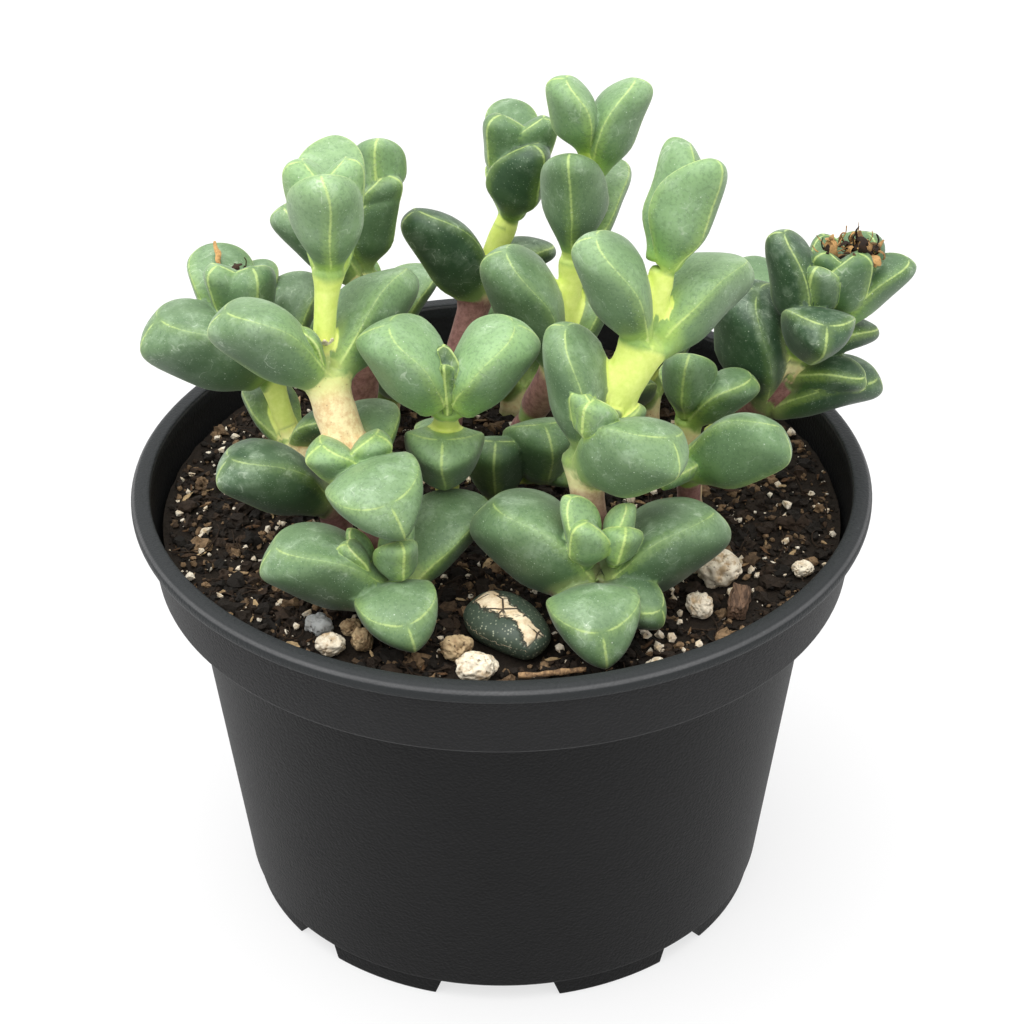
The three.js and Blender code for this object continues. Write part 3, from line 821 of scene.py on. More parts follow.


# %% [markdown]
# ## Shoots
# Joints and leaves are placed as in the solid model, apart from a few leaves that are turned by some degrees to
# follow the plant more closely, so each dressed shoot covers its solid. A shoot starts with a number for how pale its
# leaves are; the low numbers of back_middle and far_right stand partly for their own deeper green and partly for
# painted shade. Then come its joints from the soil upwards, each with its place and its leaves. A leaf is written as
# heading, climb and length, and where it needs them girth, roll, and how far its foot lies below the joint.

# %% Shoots from the soil upwards
shoots = {
    "front_left": (0.74, [
        ((-15.5, -27, 61), []),
        ((-16.8, -28, 65.8), [(290, 14, 14, 0.82)]),
        ((-15, -28, 67), [(192, 28, 18.5, 0.75, -8), (50, 18, 19, 0.58)]),
        ((-20, -22, 81.5), [(294, 13, 14.5, 0.93, -10), (76, 16, 14), (212, 50, 8, 0.95), (335, 65, 7.5, 0.9)]),
        ((-24, -16, 94.5), [(191, 39, 17.4, 0.72, -12), (52, 25, 19.3, 0.62, 25)]),
        ((-23.2, -12, 107.8), [(276, 77, 16.5, 0.64), (90, 46, 19.2, 0.52)]),
        ((-23.2, -10.5, 110.2), [(190, 78, 14, 0.65), (350, 80, 13.5, 0.64)])]),
    "left_behind": (0.5, [
        ((-21, 8, 61), []),
        ((-19.7, 8, 91), []),
        ((-19.7, 9, 96.3), [(340, 76, 14.4, 0.58), (181, 43, 15, 0.66)]),
        ((-19.2, 9.5, 102.2), [(335, 70, 10.5, 0.72), (84, 28, 12)]),
        ((-17, 10, 105.9), [(268, 95, 10.3, 0.78)])]),
    "far_left": (0.35, [
        ((-23.5, -8, 61), []),
        ((-25, -10, 71), [(203, 33, 16.7, 0.78, -5)]),
        ((-30, -1, 73.5), [(123, 17, 13), (326, 41, 10, 0.7)]),
        ((-34, 3, 84.6), [(201, 33, 18, 0.82), (59, 37, 15)]),
        ((-37, 5, 88.5), [(296, 73, 12.5, 0.76), (236, 72, 13, 0.62), (122, 37, 14.5, 0.7), (76, 28, 12.5, 0.55)])]),
    "low_middle": (0.4, [
        ((-0.5, 1, 61), []),
        ((-0.5, 1, 65), [(264, 59, 13.3, 0.75)]),
        ((5.5, 2.5, 67), [(279, 58, 13.5, 0.85), (307, 20, 7, 0.9)])]),
    "centre_pale": (0.76, [
        ((-7, -7, 61), []),
        ((-8, -9.5, 75.2), [(274, 46, 13.5, 0.85), (105, 10, 9.5, 0.65)]),
        ((-7.3, -18.5, 90.9), [(182, 58, 14.5, 0.9), (3, 50, 14.3, 0.88)])]),
    "front_right": (0.64, [
        ((11, -29.5, 61), []),
        ((11, -30.5, 67), [(282, 12, 14, 0.92), (330, 8, 12.5, 0.72)]),
        ((13.5, -28, 68), [(167, 35, 18.3, 0.84, -18), (12, 28, 18.2, 0.8, 16)]),
        ((12, -23, 84.5), [(325, 31, 15, 0.94, 25), (160, 79, 19.5, 0.56), (13, 71, 9, 0.75), (16, 45, 10)]),
        ((20, -18, 100.3), [(193, 65, 17.5, 0.66, 14), (44, 17, 19, 0.68, 15)]),
        ((22, -15, 110), [(5, 68, 16.5, 0.6, 55), (58, 66, 16.7, 0.6, -110)])]),
    "top_middle": (0.5, [
        ((2, 11, 61), []),
        ((4.5, 7, 73), []),
        ((8.5, 3, 85), [(191, 66, 19.5, 0.66, 8), (38, 50, 14)]),
        ((10.5, 6, 99.8), [(262, 83, 17.5, 0.57), (63, 31, 17, 0.5)]),
        ((12.5, 9, 114.5), [(185, 75, 12.2, 0.72, 5), (16, 63, 14.6, 0.64, 10, 2.6)])]),
    # darker partly as painted shade
    "back_middle": (0.16, [
        ((-9, 14, 61), []),
        ((-6.4, 15, 77.3), []),
        ((-2.5, 18.5, 89.6), [(192, 56, 17.6, 0.64, -20, 2.4), (33, 11, 12), (280, 60, 6)]),
        ((1.4, 20.5, 99), [(310, 69, 14, 0.68), (105, 25, 10, 0.5)]),
        ((2, 21.5, 103.6), [(225, 79, 12, 0.74), (336, 69, 12.3, 0.65), (91, 35, 14)])]),
    # darker partly as painted shade
    "far_right": (-0.02, [
        ((33, 13, 61), []),
        ((35, 14, 69.5), []),
        ((39.5, 10, 73.5), [(350, 19, 16.5, 0.6), (176, 83, 18.5, 0.85, 10)]),
        ((42, 9, 79), [(336, 8, 11.5, 0.6)]),
        ((43, 8, 82.5), [(18, 12, 12.5, 0.52)]),
        ((44, 8, 85.7), [(283, 36, 12.5, 0.84, 12), (185, 77, 17, 0.55, 15)]),
        ((48, 9.3, 87.5), [(215, 80, 12), (322, 74, 12.5, 0.68), (10, 39, 14), (45, 56, 13.5, 0.7), (102, 65, 12)])]),
    "right_small": (0.4, [
        ((28, 1, 61), []),
        ((27, 2, 76), [(255, 80, 11.5, 0.72), (350, 38, 11.5, 0.68), (110, 30, 9)])]),
    "right_low": (0.25, [
        ((27, -9, 61), []),
        ((26.5, -12, 77.2), [(345, 28, 15, 0.86, 32), (244, 13, 9, 0.7)])]),
    "right_behind": (0.35, [
        ((33, 22, 61), []),
        ((37.5, 25, 73.5), [(95, 16, 14), (79, 27, 17)])]),
    "back_left": (0.45, [
        ((-18, 25, 61), []),
        ((-18, 26, 67), [(130, 20, 16), (300, 30, 12)]),
        ((-19, 28, 74), [(45, 35, 14), (225, 35, 15)]),
        ((-19.5, 29, 79), [(130, 60, 9), (300, 60, 9)])]),
    "back": (0.45, [
        ((2, 28, 61), []),
        ((2, 29, 66), [(40, 20, 15), (220, 30, 12)]),
        ((2, 30, 71.5), [(130, 35, 13), (310, 35, 12)]),
        ((2.5, 30, 76), [(40, 60, 8), (220, 60, 8)])]),
    "back_right": (0.45, [
        ((22, 24, 61), []),
        ((22, 26, 66), [(65, 25, 15), (245, 25, 13)]),
        ((22.5, 27, 72), [(110, 35, 14), (290, 35, 12)]),
        ((23, 28, 76), [(20, 60, 8), (200, 60, 8)])]),
}
print(len(shoots), "shoots with", sum(len(leaves) for _, joints in shoots.values() for _, leaves in joints), "leaves")

# %% [markdown]
# A stem and its leaves are one grown body, so they are united by a Boolean modifier and not just pushed into each
# other. Where a leaf meets the stem or its partner, the union leaves a hard crease. The creases are found as the
# edges whose faces lean towards each other, and the points around them are smoothed, which gives the soft fold
# that grown tissue has there.

# %% Softening creases
def crease_edges(piece, least_angle):
    """Edges between faces that lean towards each other"""
    mesh = piece.data
    normals, centres = (np.empty(len(mesh.polygons) * 3) for _ in range(2))
    mesh.polygons.foreach_get("normal", normals)
    mesh.polygons.foreach_get("center", centres)
    normals, centres = normals.reshape(-1, 3), centres.reshape(-1, 3)
    corner_edges = np.empty(len(mesh.loops), int)
    corner_counts = np.empty(len(mesh.polygons), int)
    mesh.loops.foreach_get("edge_index", corner_edges)
    mesh.polygons.foreach_get("loop_total", corner_counts)
    corner_faces = np.repeat(np.arange(len(mesh.polygons)), corner_counts)
    order = np.argsort(corner_edges, kind="stable")
    shared = corner_edges[order]
    twins = np.nonzero(shared[1:] == shared[:-1])[0]
    one, other = corner_faces[order[twins]], corner_faces[order[twins + 1]]
    leaning = np.einsum("ij,ij->i", centres[other] - centres[one], normals[one]) > 0
    steep = np.einsum("ij,ij->i", normals[one], normals[other]) < math.cos(math.radians(least_angle))
    return shared[twins][leaning & steep]


def soften_creases(piece, joints, least_angle, rings, passes, below):
    """Smooth around the creases that lie below their nearest joint, or those above it"""
    edges = crease_edges(piece, least_angle)
    ends = np.array([piece.data.edges[index].vertices[0] for index in edges])
    places = (places_of(piece)[ends] - np.array(pot_axis)) / mm
    gaps = places[:, None, :] - np.array(joints)[None, :, :]
    nearest = np.argmin(np.linalg.norm(gaps, axis=2), axis=1)
    under = gaps[np.arange(len(gaps)), nearest, 2] < -0.4
    edges = edges[under == below]
    chosen = np.zeros(len(piece.data.edges), bool)
    chosen[edges] = True
    select_edges(piece, chosen)
    bpy.ops.mesh.select_mode(type="VERT")
    for _ in range(rings):
        bpy.ops.mesh.select_more()
    bpy.ops.mesh.vertices_smooth(factor=0.5, repeat=passes)
    bpy.ops.object.mode_set(mode="OBJECT")
    return int(chosen.sum())


# %% Uniting the pieces of a shoot
def unite(piece, others):
    """Join closed pieces into one skin"""
    group = bpy.data.collections.new("to_unite")
    scene.collection.children.link(group)
    for other in others:
        scene.collection.objects.unlink(other)
        group.objects.link(other)
    shape_with(piece, "BOOLEAN", operation="UNION", solver="MANIFOLD", operand_type="COLLECTION", collection=group)
    for other in others:
        bpy.data.objects.remove(other)
    bpy.data.collections.remove(group)


def spread_marks(piece, layers):
    """The stem and the seams of the union carry no leaf numbers: they take those of the nearest leaf point"""
    marks = {}
    for layer in ("on_leaf", *layers):
        values = np.empty(len(piece.data.vertices))
        piece.data.attributes[layer].data.foreach_get("value", values)
        marks[layer] = values
    places = places_of(piece)
    on_leaf = marks.pop("on_leaf") > 0.99
    sources, bare = np.nonzero(on_leaf)[0], np.nonzero(~on_leaf)[0]
    tree = kdtree.KDTree(len(sources))
    for index in sources:
        tree.insert(places[index], int(index))
    tree.balance()
    nearest = [tree.find(places[index])[1] for index in bare]
    for layer, values in marks.items():
        values[bare] = values[nearest]
        note_on_points(piece, layer, values)
    note_on_points(piece, "on_leaf", np.ones(len(places)))
    return len(bare)


# %% [markdown]
# Small buds sit on top of some joints, in the forks between the big leaves. They are united with the shoot after its
# creases were softened, so that they keep crisp edges, and they are written as a place, a tone and their leaves.

# %% Buds in the forks
fork_buds = {
    "front_right": [((11.8, -31, 72.2), 0.85, [(258, 80, 8, 0.86, 40), (165, 76, 10.4, 0.6, 30)]),
                    ((15.6, -30.6, 72), 0.85, [(300, 74, 7.4, 0.84, 35), (50, 78, 9, 0.6, 30)]),
                    ((12.6, -27, 89.2), 0.85, [(262, 86, 7.2, 0.9, 30), (190, 80, 8, 0.7)])],
    "front_left": [((-18.4, -31, 69.8), 0.7, [(222, 66, 8, 0.62, 30), (140, 72, 7.6, 0.5)]),
                   ((-14.4, -31.4, 70), 0.75, [(290, 76, 7.8, 0.82), (70, 76, 8.8, 0.62, 30)]),
                   ((-24, -18.4, 96.6), 0.5, [(182, 62, 6.6, 0.48)])],
    "centre_pale": [((-7.2, -20.6, 89.9), -0.1, [(272, 84, 8.4, 0.5), (95, 85, 10, 0.42)])],
    "far_right": [((45.4, 6.6, 88), 0.25, [(240, 82, 10.6, 0.62)])],
}


bud_marks = {"gap": far_off, "stem_age": 0, "below": far_off, "bare": 0}


def add_buds(name, seed):
    """The buds of a shoot, marked as nowhere near a stem"""
    buds = [add_leaf("bud", place, *leaf, age=1, tone=tone, seed=seed + order)
            for place, tone, pair in fork_buds.get(name, ()) for order, leaf in enumerate(pair)]
    for bud in buds:
        for layer, value in bud_marks.items():
            note_on_points(bud, layer, np.full(len(bud.data.vertices), value))
    return buds


# %% [markdown]
# Some stems look older than their joints tell. The table names them, with the age from which on they do, and by how
# much. Older pairs of leaves are a little greener than the young ones above them, and small leaves a little paler.

# %% Growing a shoot
older_stems = {"front_right": (2, 0.8), "back_middle": (2, 1), "top_middle": (2, 1), "right_low": (-1, 3),
               "right_small": (-1, 2)}
no_older = (far_off, 0)
greening = 0.06
small_length, small_paleness = 9, 0.12


def flare_under(heading, climb, length, girth=usual_girth, *rest):
    """How far a leaf's keel widens the stem: more where it spreads, less where it stands up"""
    return length * girth * (0.17 + 0.13 * math.cos(math.radians(climb))) * (1 - 0.3 * how_upright(climb))


def grow_shoot(name, paleness_and_shade, joints, seed):
    stops = [Vector(place) for place, _ in joints]
    stops.insert(0, stops[0] - Vector((0, 0, root_depth)))
    flares = [0] + [max([0] + [flare_under(*leaf) for leaf in leaves]) for _, leaves in joints]
    stout = stout_lengths.get(name)
    stem = add_stem(name, stops, flares, stout, seed)
    leaves = []
    for level, (place, pair) in enumerate(joints):
        age = len(joints) - 1 - level
        for order, leaf in enumerate(pair):
            # for the darker shoots the number also carries painted shade
            tone = paleness_and_shade - greening * age + (small_paleness if leaf[2] < small_length else 0)
            leaves.append(add_leaf("leaf", place, *leaf, age=age, tone=tone, seed=seed + 13 * level + order))
    unite(stem, leaves)
    spread = spread_marks(stem, leaf_marks)
    headings = [()] + [[leaf[:2] for leaf in pair] for _, pair in joints]
    mark_stem(stem, stops, flares, stout, headings, older_stems.get(name, no_older))
    centres = [place for place, _ in joints]
    creases = soften_creases(stem, centres, least_angle=14, rings=3, passes=7, below=True)
    creases += soften_creases(stem, centres, least_angle=20, rings=1, passes=2, below=False)
    buds = add_buds(name, seed + 200)
    if buds:
        unite(stem, buds)
        spread += spread_marks(stem, leaf_marks)
        select_only(stem)
    bpy.ops.object.shade_smooth()
    print(name, len(leaves), "leaves,", creases, "crease edges,", spread, "points off the leaves")
    return stem


# %% [markdown]
# ## Leaf skin
# The skin is satin, with a thin frosting of wax that hides the green in patches. The margins and the keel are
# drawn as soft yellow-green lines, and the young stems are the same yellow. Tiny paler dots, which are water
# cells, cover every face. All of it follows the distances stored on the points, so it sticks to each leaf, and
# the pattern would bake into an exported colour map just as it stands. Each layer has a function of its own, which
# takes the colour so far and gives it back with one more thing painted over it.

# %% Green of the leaf faces
def leaf_green(finish, wide, middle, frost, age, foot):
    """Green under frost, with painted shade where a face looks down, and yellower near the leaf's foot"""
    tint = finish.mark("tone") + (wide - 0.5) * 0.9
    green = finish.mix(tint, (0.026, 0.066, 0.027), (0.29, 0.455, 0.21))
    green = finish.mix(finish.step(middle, 0.4, 0.75) * 0.3, green, (0.1, 0.185, 0.088))
    green = finish.mix(frost * 0.4, green, (0.4, 0.51, 0.375))
    # painted shade: faces that look down are darkened towards a deep green, for the shade under the leaves
    facing_up = finish.upright_part(finish.node("ShaderNodeNewGeometry", output="Normal"))
    green = finish.mix(finish.step(facing_up, 0.32, -0.6) * 0.7, green, (0.02, 0.055, 0.02))
    tender = finish.step(age, 0.9, 0.3)
    green = finish.mix(tender * 0.2, green, (0.19, 0.36, 0.13))
    glow = finish.step(foot + (middle - 0.5) * 3, 12, 3) * (0.22 + tender * 0.35)
    return finish.mix(glow, green, (0.22, 0.46, 0.06))


# %% Lines along the edges
def leaf_lines(finish, green, fine, foot):
    """A soft halo and a thin line along every edge, and a paler rim on the two margins"""
    edge, margin = finish.mark("edge"), finish.mark("margin")
    near_foot = finish.step(foot, 19, 4)
    halo = finish.step(edge + (fine - 0.5) * 0.9, 1.9, 0.1) * (0.12 + near_foot * 0.48)
    line = finish.step(edge + (fine - 0.5) * 0.16, 0.34, 0.1) * (0.5 + near_foot * 0.35)
    lined = finish.mix(halo, green, (0.36, 0.54, 0.1))
    lined = finish.mix(line, lined, (0.56, 0.7, 0.22))
    rim = finish.step(margin, 0.16, 0.04) * finish.step(fine, 0.3, 0.6) * finish.step(foot, 4, 7)
    return finish.mix(rim * 0.5, lined, (0.72, 0.72, 0.42))


# %% Specks and scratches
def leaf_specks(finish, lined, dots, middle, fine, frost):
    """Water cells, a fine dark mottle, white dots, scratches in the wax, and a few dark dots"""
    white_dots = finish.step(finish.cells(1.7), 0.075, 0.03)
    dark_dots = finish.step(finish.cells(1.1), 0.12, 0.04) * finish.step(finish.clouds(2.2, 2), 0.5, 0.7)
    waves = finish.clouds(3.2, 2, 0.4)
    scratch = finish.step(waves, 0.535, 0.545) * finish.step(waves, 0.565, 0.555) * frost
    speckled = finish.mix(dots * 0.4, lined, (0.44, 0.56, 0.4))
    speckled = finish.mix(finish.step(fine, 0.48, 0.64) * 0.28, speckled, (0.045, 0.1, 0.04))
    speckled = finish.mix(white_dots * 0.6 + scratch * 0.35, speckled, (0.62, 0.7, 0.55))
    return finish.mix(dark_dots * 0.5, speckled, (0.03, 0.06, 0.02))


# %% Skin of the stems
def stem_bark(finish, stem_age):
    """Yellow green while young, then beige, greener just under a joint, and at last brown"""
    streaks, below = finish.clouds(1.1, 4, 0.7), finish.mark("below")
    young = finish.mix(streaks, (0.55, 0.7, 0.08), (0.88, 0.95, 0.32))
    beige = finish.mix(finish.step(streaks, 0.35, 0.7), (0.84, 0.72, 0.4), (0.66, 0.45, 0.22))
    beige = finish.mix(finish.step(below, 4.5, 0.5) * 0.6, beige, (0.8, 0.85, 0.4))
    brown = finish.mix(finish.step(streaks, 0.3, 0.7), (0.4, 0.2, 0.17), (0.2, 0.09, 0.075))
    bark = finish.mix(finish.step(stem_age, 1.6, 2.4), young, beige)
    bark = finish.mix(finish.step(stem_age, 2.7, 3.3), bark, brown)
    spots = finish.step(finish.cells(0.8), 0.17, 0.08)
    spots = spots * finish.step(stem_age, 1.5, 2.2) * finish.step(streaks, 0.4, 0.6)
    return finish.mix(spots * 0.6, bark, (0.25, 0.12, 0.05))


# %% Skin of a whole shoot
def shoot_skin():
    finish = Finish("succulent_skin", sheen_weight=0.12, sheen_roughness=0.4, specular_ior_level=0.45)
    age, share, foot, gap, stem_age = (finish.mark(name) for name in ("age", "share", "foot", "gap", "stem_age"))
    wide, middle, fine = finish.clouds(9, 3), finish.clouds(2.6, 4, 0.6), finish.clouds(0.5, 3, 0.6)
    frost = finish.step(finish.clouds(4.5, 5, 0.7), 0.46, 0.72) * finish.step(share, 0.08, 0.5)
    dots = finish.step(finish.cells(0.42), 0.26, 0.08) * finish.step(middle, 0.35, 0.6)
    green = leaf_green(finish, wide, middle, frost, age, foot)
    leaf = leaf_specks(finish, leaf_lines(finish, green, fine, foot), dots, middle, fine, frost)

    olive = finish.mix(finish.step(age, 1.2, 2.6), (0.4, 0.6, 0.1), (0.38, 0.44, 0.17))
    off_stem = gap + (middle - 0.5) * 0.3
    colour = finish.mix(finish.step(off_stem, 2, 0.3) * 0.4, leaf, olive)
    on_stem = finish.step(off_stem, 0.6, 0.3) * finish.step(finish.mark("bare") + (middle - 0.5) * 0.5, 0.1, 1.1)
    colour = finish.mix(on_stem, colour, stem_bark(finish, stem_age))
    dry = finish.step(stem_age, 2, 3.2) * on_stem
    roughness = 0.43 + fine * 0.12 + frost * 0.12 + dry * 0.2
    relief = finish.bump(middle, 0.1, 0.35)
    relief = finish.bump(dots + fine * 0.6, 0.05, 0.6, relief)
    return finish.feed(base_color=colour, roughness=roughness, normal=relief)


# %% Shoots in their skin
skin = shoot_skin()
for count, (name, (paleness_and_shade, joints)) in enumerate(shoots.items()):
    shoot = grow_shoot(name, paleness_and_shade, joints, 100 * (count + 1))
    shoot.name = shoot.data.name = "leafy_shoot_" + name
    finish_piece(shoot, skin, "leaf_skin", "shoot_" + name)

put_away(leaf_pattern)

# %% [markdown]
# ## Dried flowers
# Where flowers have withered, a tuft of dark curled bits stays between the top leaves, and a torn scrap of pale
# sheath clings to the foot of a young stem. Each bit is a strand: the cut tube again, flattened, tapered and
# curled. Strands of drawn sizes grow out of one place, on a stalk that comes from the joint below. Broad ones are
# bracts and petals, and thin ones are whiskers.

# %% Dried strands
strand_thickness = 0.12
strand_pattern = tube_pattern("strand_pattern", 8, 12)
put_away(strand_pattern)


def dry_strand(place, heading, climb, length, width, curl, shade, crumple=0.3):
    """A flat strand from a place, whose climb changes by its curl, in degrees, along its length"""
    strand = copy_pattern(strand_pattern, "dry_strand")
    points = places_of(strand)
    run, start, bend = points[:, 0], math.radians(climb), math.radians(curl)
    lean = start + bend * run
    thick = points[:, 2] * min(strand_thickness, width / 2)
    ahead = (np.sin(lean) - math.sin(start)) / bend * length - np.sin(lean) * thick
    rise = (math.cos(start) - np.cos(lean)) / bend * length + np.cos(lean) * thick
    aside = points[:, 1] * width / 2 * (0.25 + 0.75 * np.sin(math.pi * np.clip(run * 0.85 + 0.12, 0, 1)))
    spot = np.array(place) + np.outer(ahead, direction(heading, 0)) + np.outer(aside, direction(heading + 90, 0))
    spot[:, 2] += rise
    spot = uneven(spot, 1.3, crumple, heading * 0.1)
    set_places(strand, np.array(pot_axis) + spot * mm)
    note_on_points(strand, "shade", np.full(len(points), shade))
    clean_shell(strand)
    return strand


def dried_tuft(place, spread, bracts, whiskers, seed):
    """Broad bits and thin whiskers round one place"""
    draw = random.Random(seed)
    strands = []
    for index in range(bracts + whiskers):
        heading, broad = draw.uniform(0, 360), index < bracts
        start = Vector(place) + direction(heading, draw.uniform(-30, 50)) * spread * draw.random()
        length = draw.uniform(1.5, 3.4) if broad else draw.uniform(2, 4.2)
        width = draw.uniform(0.7, 1.6) if broad else draw.uniform(0.16, 0.28)
        curl = draw.uniform(60, 170) * draw.choice((-1, 1)) if broad else draw.uniform(20, 80)
        strands.append(dry_strand(start, heading, draw.uniform(0, 80), length, width, curl, draw.random()))
    return strands


# %% Tufts, stalks and a torn sheath
def join_pieces(name, pieces):
    select_only(*pieces)
    bpy.ops.object.join()
    bpy.ops.object.shade_smooth_by_angle(angle=math.radians(50))
    return name_newest(name)


def dried_finish():
    finish = Finish("dried_flower", specular_ior_level=0.25)
    shade, fibre = finish.mark("shade"), finish.clouds(0.7, 4, 0.7)
    colour = finish.mix(finish.step(shade, 0.3, 0.8), (0.014, 0.008, 0.005), (0.5, 0.29, 0.11))
    colour = finish.mix(finish.step(shade, 0.94, 1), colour, (0.8, 0.72, 0.5))
    colour = finish.mix(finish.step(fibre, 0.4, 0.7) * 0.5, colour, (0.05, 0.025, 0.012))
    return finish.feed(base_color=colour, roughness=0.7 + fibre * 0.2, normal=finish.bump(fibre, 0.2, 0.8))


dried = dried_finish()
right_stalk = dry_strand((48, 9.3, 87.5), 30, 78, length=11.5, width=1, curl=-6, shade=0.1, crumple=0.1)
right_tufts = dried_tuft((51.5, 10, 98), spread=2.6, bracts=46, whiskers=9, seed=3)
right_tufts += dried_tuft((47.2, 9, 98.2), spread=1.4, bracts=18, whiskers=5, seed=4)
right_spike = dry_strand((51, 10.4, 98), 100, 84, length=4.3, width=0.5, curl=14, shade=0.3)
left_stalk = dry_strand((-37, 5, 88.5), 300, 86, length=9, width=0.8, curl=5, shade=0.2, crumple=0.1)
left_petal = dry_strand((-40.1, 8.6, 96.6), 104, 52, length=4.6, width=0.9, curl=-40, shade=0.9)
left_tuft = dried_tuft((-37.2, 6, 96.6), spread=1.2, bracts=9, whiskers=3, seed=5)
sheath = [dry_strand((-23.7, -16.5, 98.6), heading, 20, length=2, width=1.2, curl=60, shade=1, crumple=0.15)
          for heading in (215, 265, 320)]
dried_pieces = {
    "dried_flower_right": [right_stalk, *right_tufts, right_spike],
    "dried_flower_left": [left_stalk, left_petal, *left_tuft],
    "torn_sheath": sheath,
}
for name, bits in dried_pieces.items():
    finish_piece(join_pieces(name, bits), dried, "dried_leaf")

# %% [markdown]
# ## Potting mix
# The mix is peat, composted bark and grit. From above it is a bed of dark crumbs of all sizes, with husks, thin
# roots and white specks of perlite between them. Displacing a plane alone would give rounded mud, and thousands of
# modelled crumbs down to the floor would be wasted. So a bed with uneven ground fills the pot, closed all round,
# and loose crumbs lie on it, copied from a few small shapes.

# %% Bed of the mix
soil_low, soil_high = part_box("soil")
bed_radius = (soil_high.x - soil_low.x) / 2 / mm - 0.15
bed_height = 61
bed_cuts = 170
bed_walls = ((6.2, 0.985), (0.8, 0.92), (49, 0.85))  # how far down each wall goes, and how much it narrows


def ground_height(x, y):
    """Height of the bed in millimetres"""
    broad = noise.noise(Vector((x, y, 3)) / 11) * 0.5
    lumps = noise.noise(Vector((x, y, 9)) / 3.4) * 0.45
    grains = noise.noise(Vector((x, y, 5)) / 1.2) * 0.22
    return bed_height + broad + lumps + grains


bpy.ops.mesh.primitive_grid_add(x_subdivisions=bed_cuts, y_subdivisions=bed_cuts, size=2)
bed = name_newest("potting_mix")
square = places_of(bed)
across = square[:, 0] * np.sqrt(1 - square[:, 1] ** 2 / 2) * bed_radius
inward = square[:, 1] * np.sqrt(1 - square[:, 0] ** 2 / 2) * bed_radius
heights = [ground_height(x, y) for x, y in zip(across, inward)]
set_places(bed, np.array(pot_axis) + np.column_stack((across, inward, heights)) * mm)

select_only(bed)
bpy.ops.object.mode_set(mode="EDIT")
bpy.ops.mesh.select_mode(type="EDGE")
bpy.ops.mesh.select_all(action="DESELECT")
bpy.ops.mesh.select_non_manifold()
for drop, narrow in bed_walls:
    bpy.ops.mesh.extrude_region_move(TRANSFORM_OT_translate={"value": (0, 0, -drop * mm)})
    bpy.ops.transform.resize(value=(narrow, narrow, 1), center_override=at(0, 0, 0))
bpy.ops.mesh.edge_face_add()
bpy.ops.mesh.select_all(action="SELECT")
bpy.ops.mesh.normals_make_consistent(inside=False)
bpy.ops.object.mode_set(mode="OBJECT")
bpy.ops.object.shade_smooth_by_angle(angle=math.radians(50))
print("bed", len(bed.data.polygons), "faces, radius", round(bed_radius, 2), "mm")

# %% [markdown]
# Loose bits keep off what already lies on the mix, so each is dropped at a drawn place and left out where a stone,
# a stem or the fallen leaf is. The places come from the model, so nothing is measured twice.

# %% Places that must stay clear
stone_numbers = range(1, 11)
lying = ["bark_chip", "fallen_leaf", "twig"] + ["stone_" + str(number) for number in stone_numbers]
stem_room = 2.6
clear = []
for node in lying:
    low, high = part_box(node)
    middle = ((low + high) / 2 - pot_axis) / mm
    half = (high - low) / 2 / mm
    clear.append((middle.x, middle.y, half.x, half.y))
for _, joints in shoots.values():
    (x, y, _), _ = joints[0]
    clear.append((x, y, stem_room, stem_room))
print(len(clear), "places kept clear")


def is_clear(x, y, size):
    """Whether a bit of a size may lie at a place"""
    if math.hypot(x, y) > bed_radius - size * 0.9:
        return False
    reach = 0.45 * size
    return all(((x - there_x) / (half_x + reach)) ** 2 + ((y - there_y) / (half_y + reach)) ** 2 > 1
               for there_x, there_y, half_x, half_y in clear)


# %% [markdown]
# Thousands of crumbs would be slow to make one by one. A few rough balls are modelled, and each crumb is a stretched
# and turned copy of one of them. All copies of a kind become one mesh, whose points keep the crumb's own shade.

# %% Rough balls and their copies
def lump_pattern(detail, roughness, seed):
    """Points and faces of a rough ball of radius 1"""
    bpy.ops.mesh.primitive_ico_sphere_add(subdivisions=detail, radius=1, location=(0, 0, 0))
    ball = name_newest("lump_pattern")
    places = places_of(ball)
    draw = random.Random(seed)
    shift = Vector([draw.uniform(-50, 50) for _ in range(3)])
    swell = [1 + roughness * noise.noise(Vector(place) * 1.4 + shift) for place in places]
    places = places * np.array(swell)[:, None]
    faces = np.array([face.vertices[:] for face in ball.data.polygons])
    bpy.data.objects.remove(ball)
    return places, faces


def scatter(name, patterns, drops):
    """One mesh from many copies: each drop is a place, three half sizes, a turn, and a shade"""
    all_places, all_faces, shades, start = [], [], [], 0
    draw = random.Random(name)
    for place, sizes, turn, shade in drops:
        places, faces = patterns[draw.randrange(len(patterns))]
        turned = (places * np.array(sizes)) @ np.array(Euler(turn).to_matrix()).T + np.array(place)
        all_places.append(turned)
        all_faces.append(faces + start)
        shades.append(np.full(len(places), shade))
        start += len(places)
    mesh = bpy.data.meshes.new(name)
    places = np.array(pot_axis) + np.concatenate(all_places) * mm
    mesh.from_pydata(places.tolist(), [], np.concatenate(all_faces).tolist())
    piece = bpy.data.objects.new(name, mesh)
    scene.collection.objects.link(piece)
    note_on_points(piece, "shade", np.concatenate(shades))
    return piece


# %% Crumbs
coarse_lumps = [lump_pattern(2, 0.9, seed) for seed in range(8)]
fine_lumps = [lump_pattern(1, 0.8, 20 + seed) for seed in range(6)]


def drop_places(count, seed, smallest, largest, bias):
    """Clear places on the bed with a size each; a high bias makes small sizes common"""
    draw = random.Random(seed)
    for _ in range(count):
        radius, turn = bed_radius * math.sqrt(draw.random()), draw.uniform(0, 2 * math.pi)
        x, y = radius * math.cos(turn), radius * math.sin(turn)
        size = smallest + (largest - smallest) * draw.random() ** bias
        if is_clear(x, y, size):
            yield x, y, size, draw


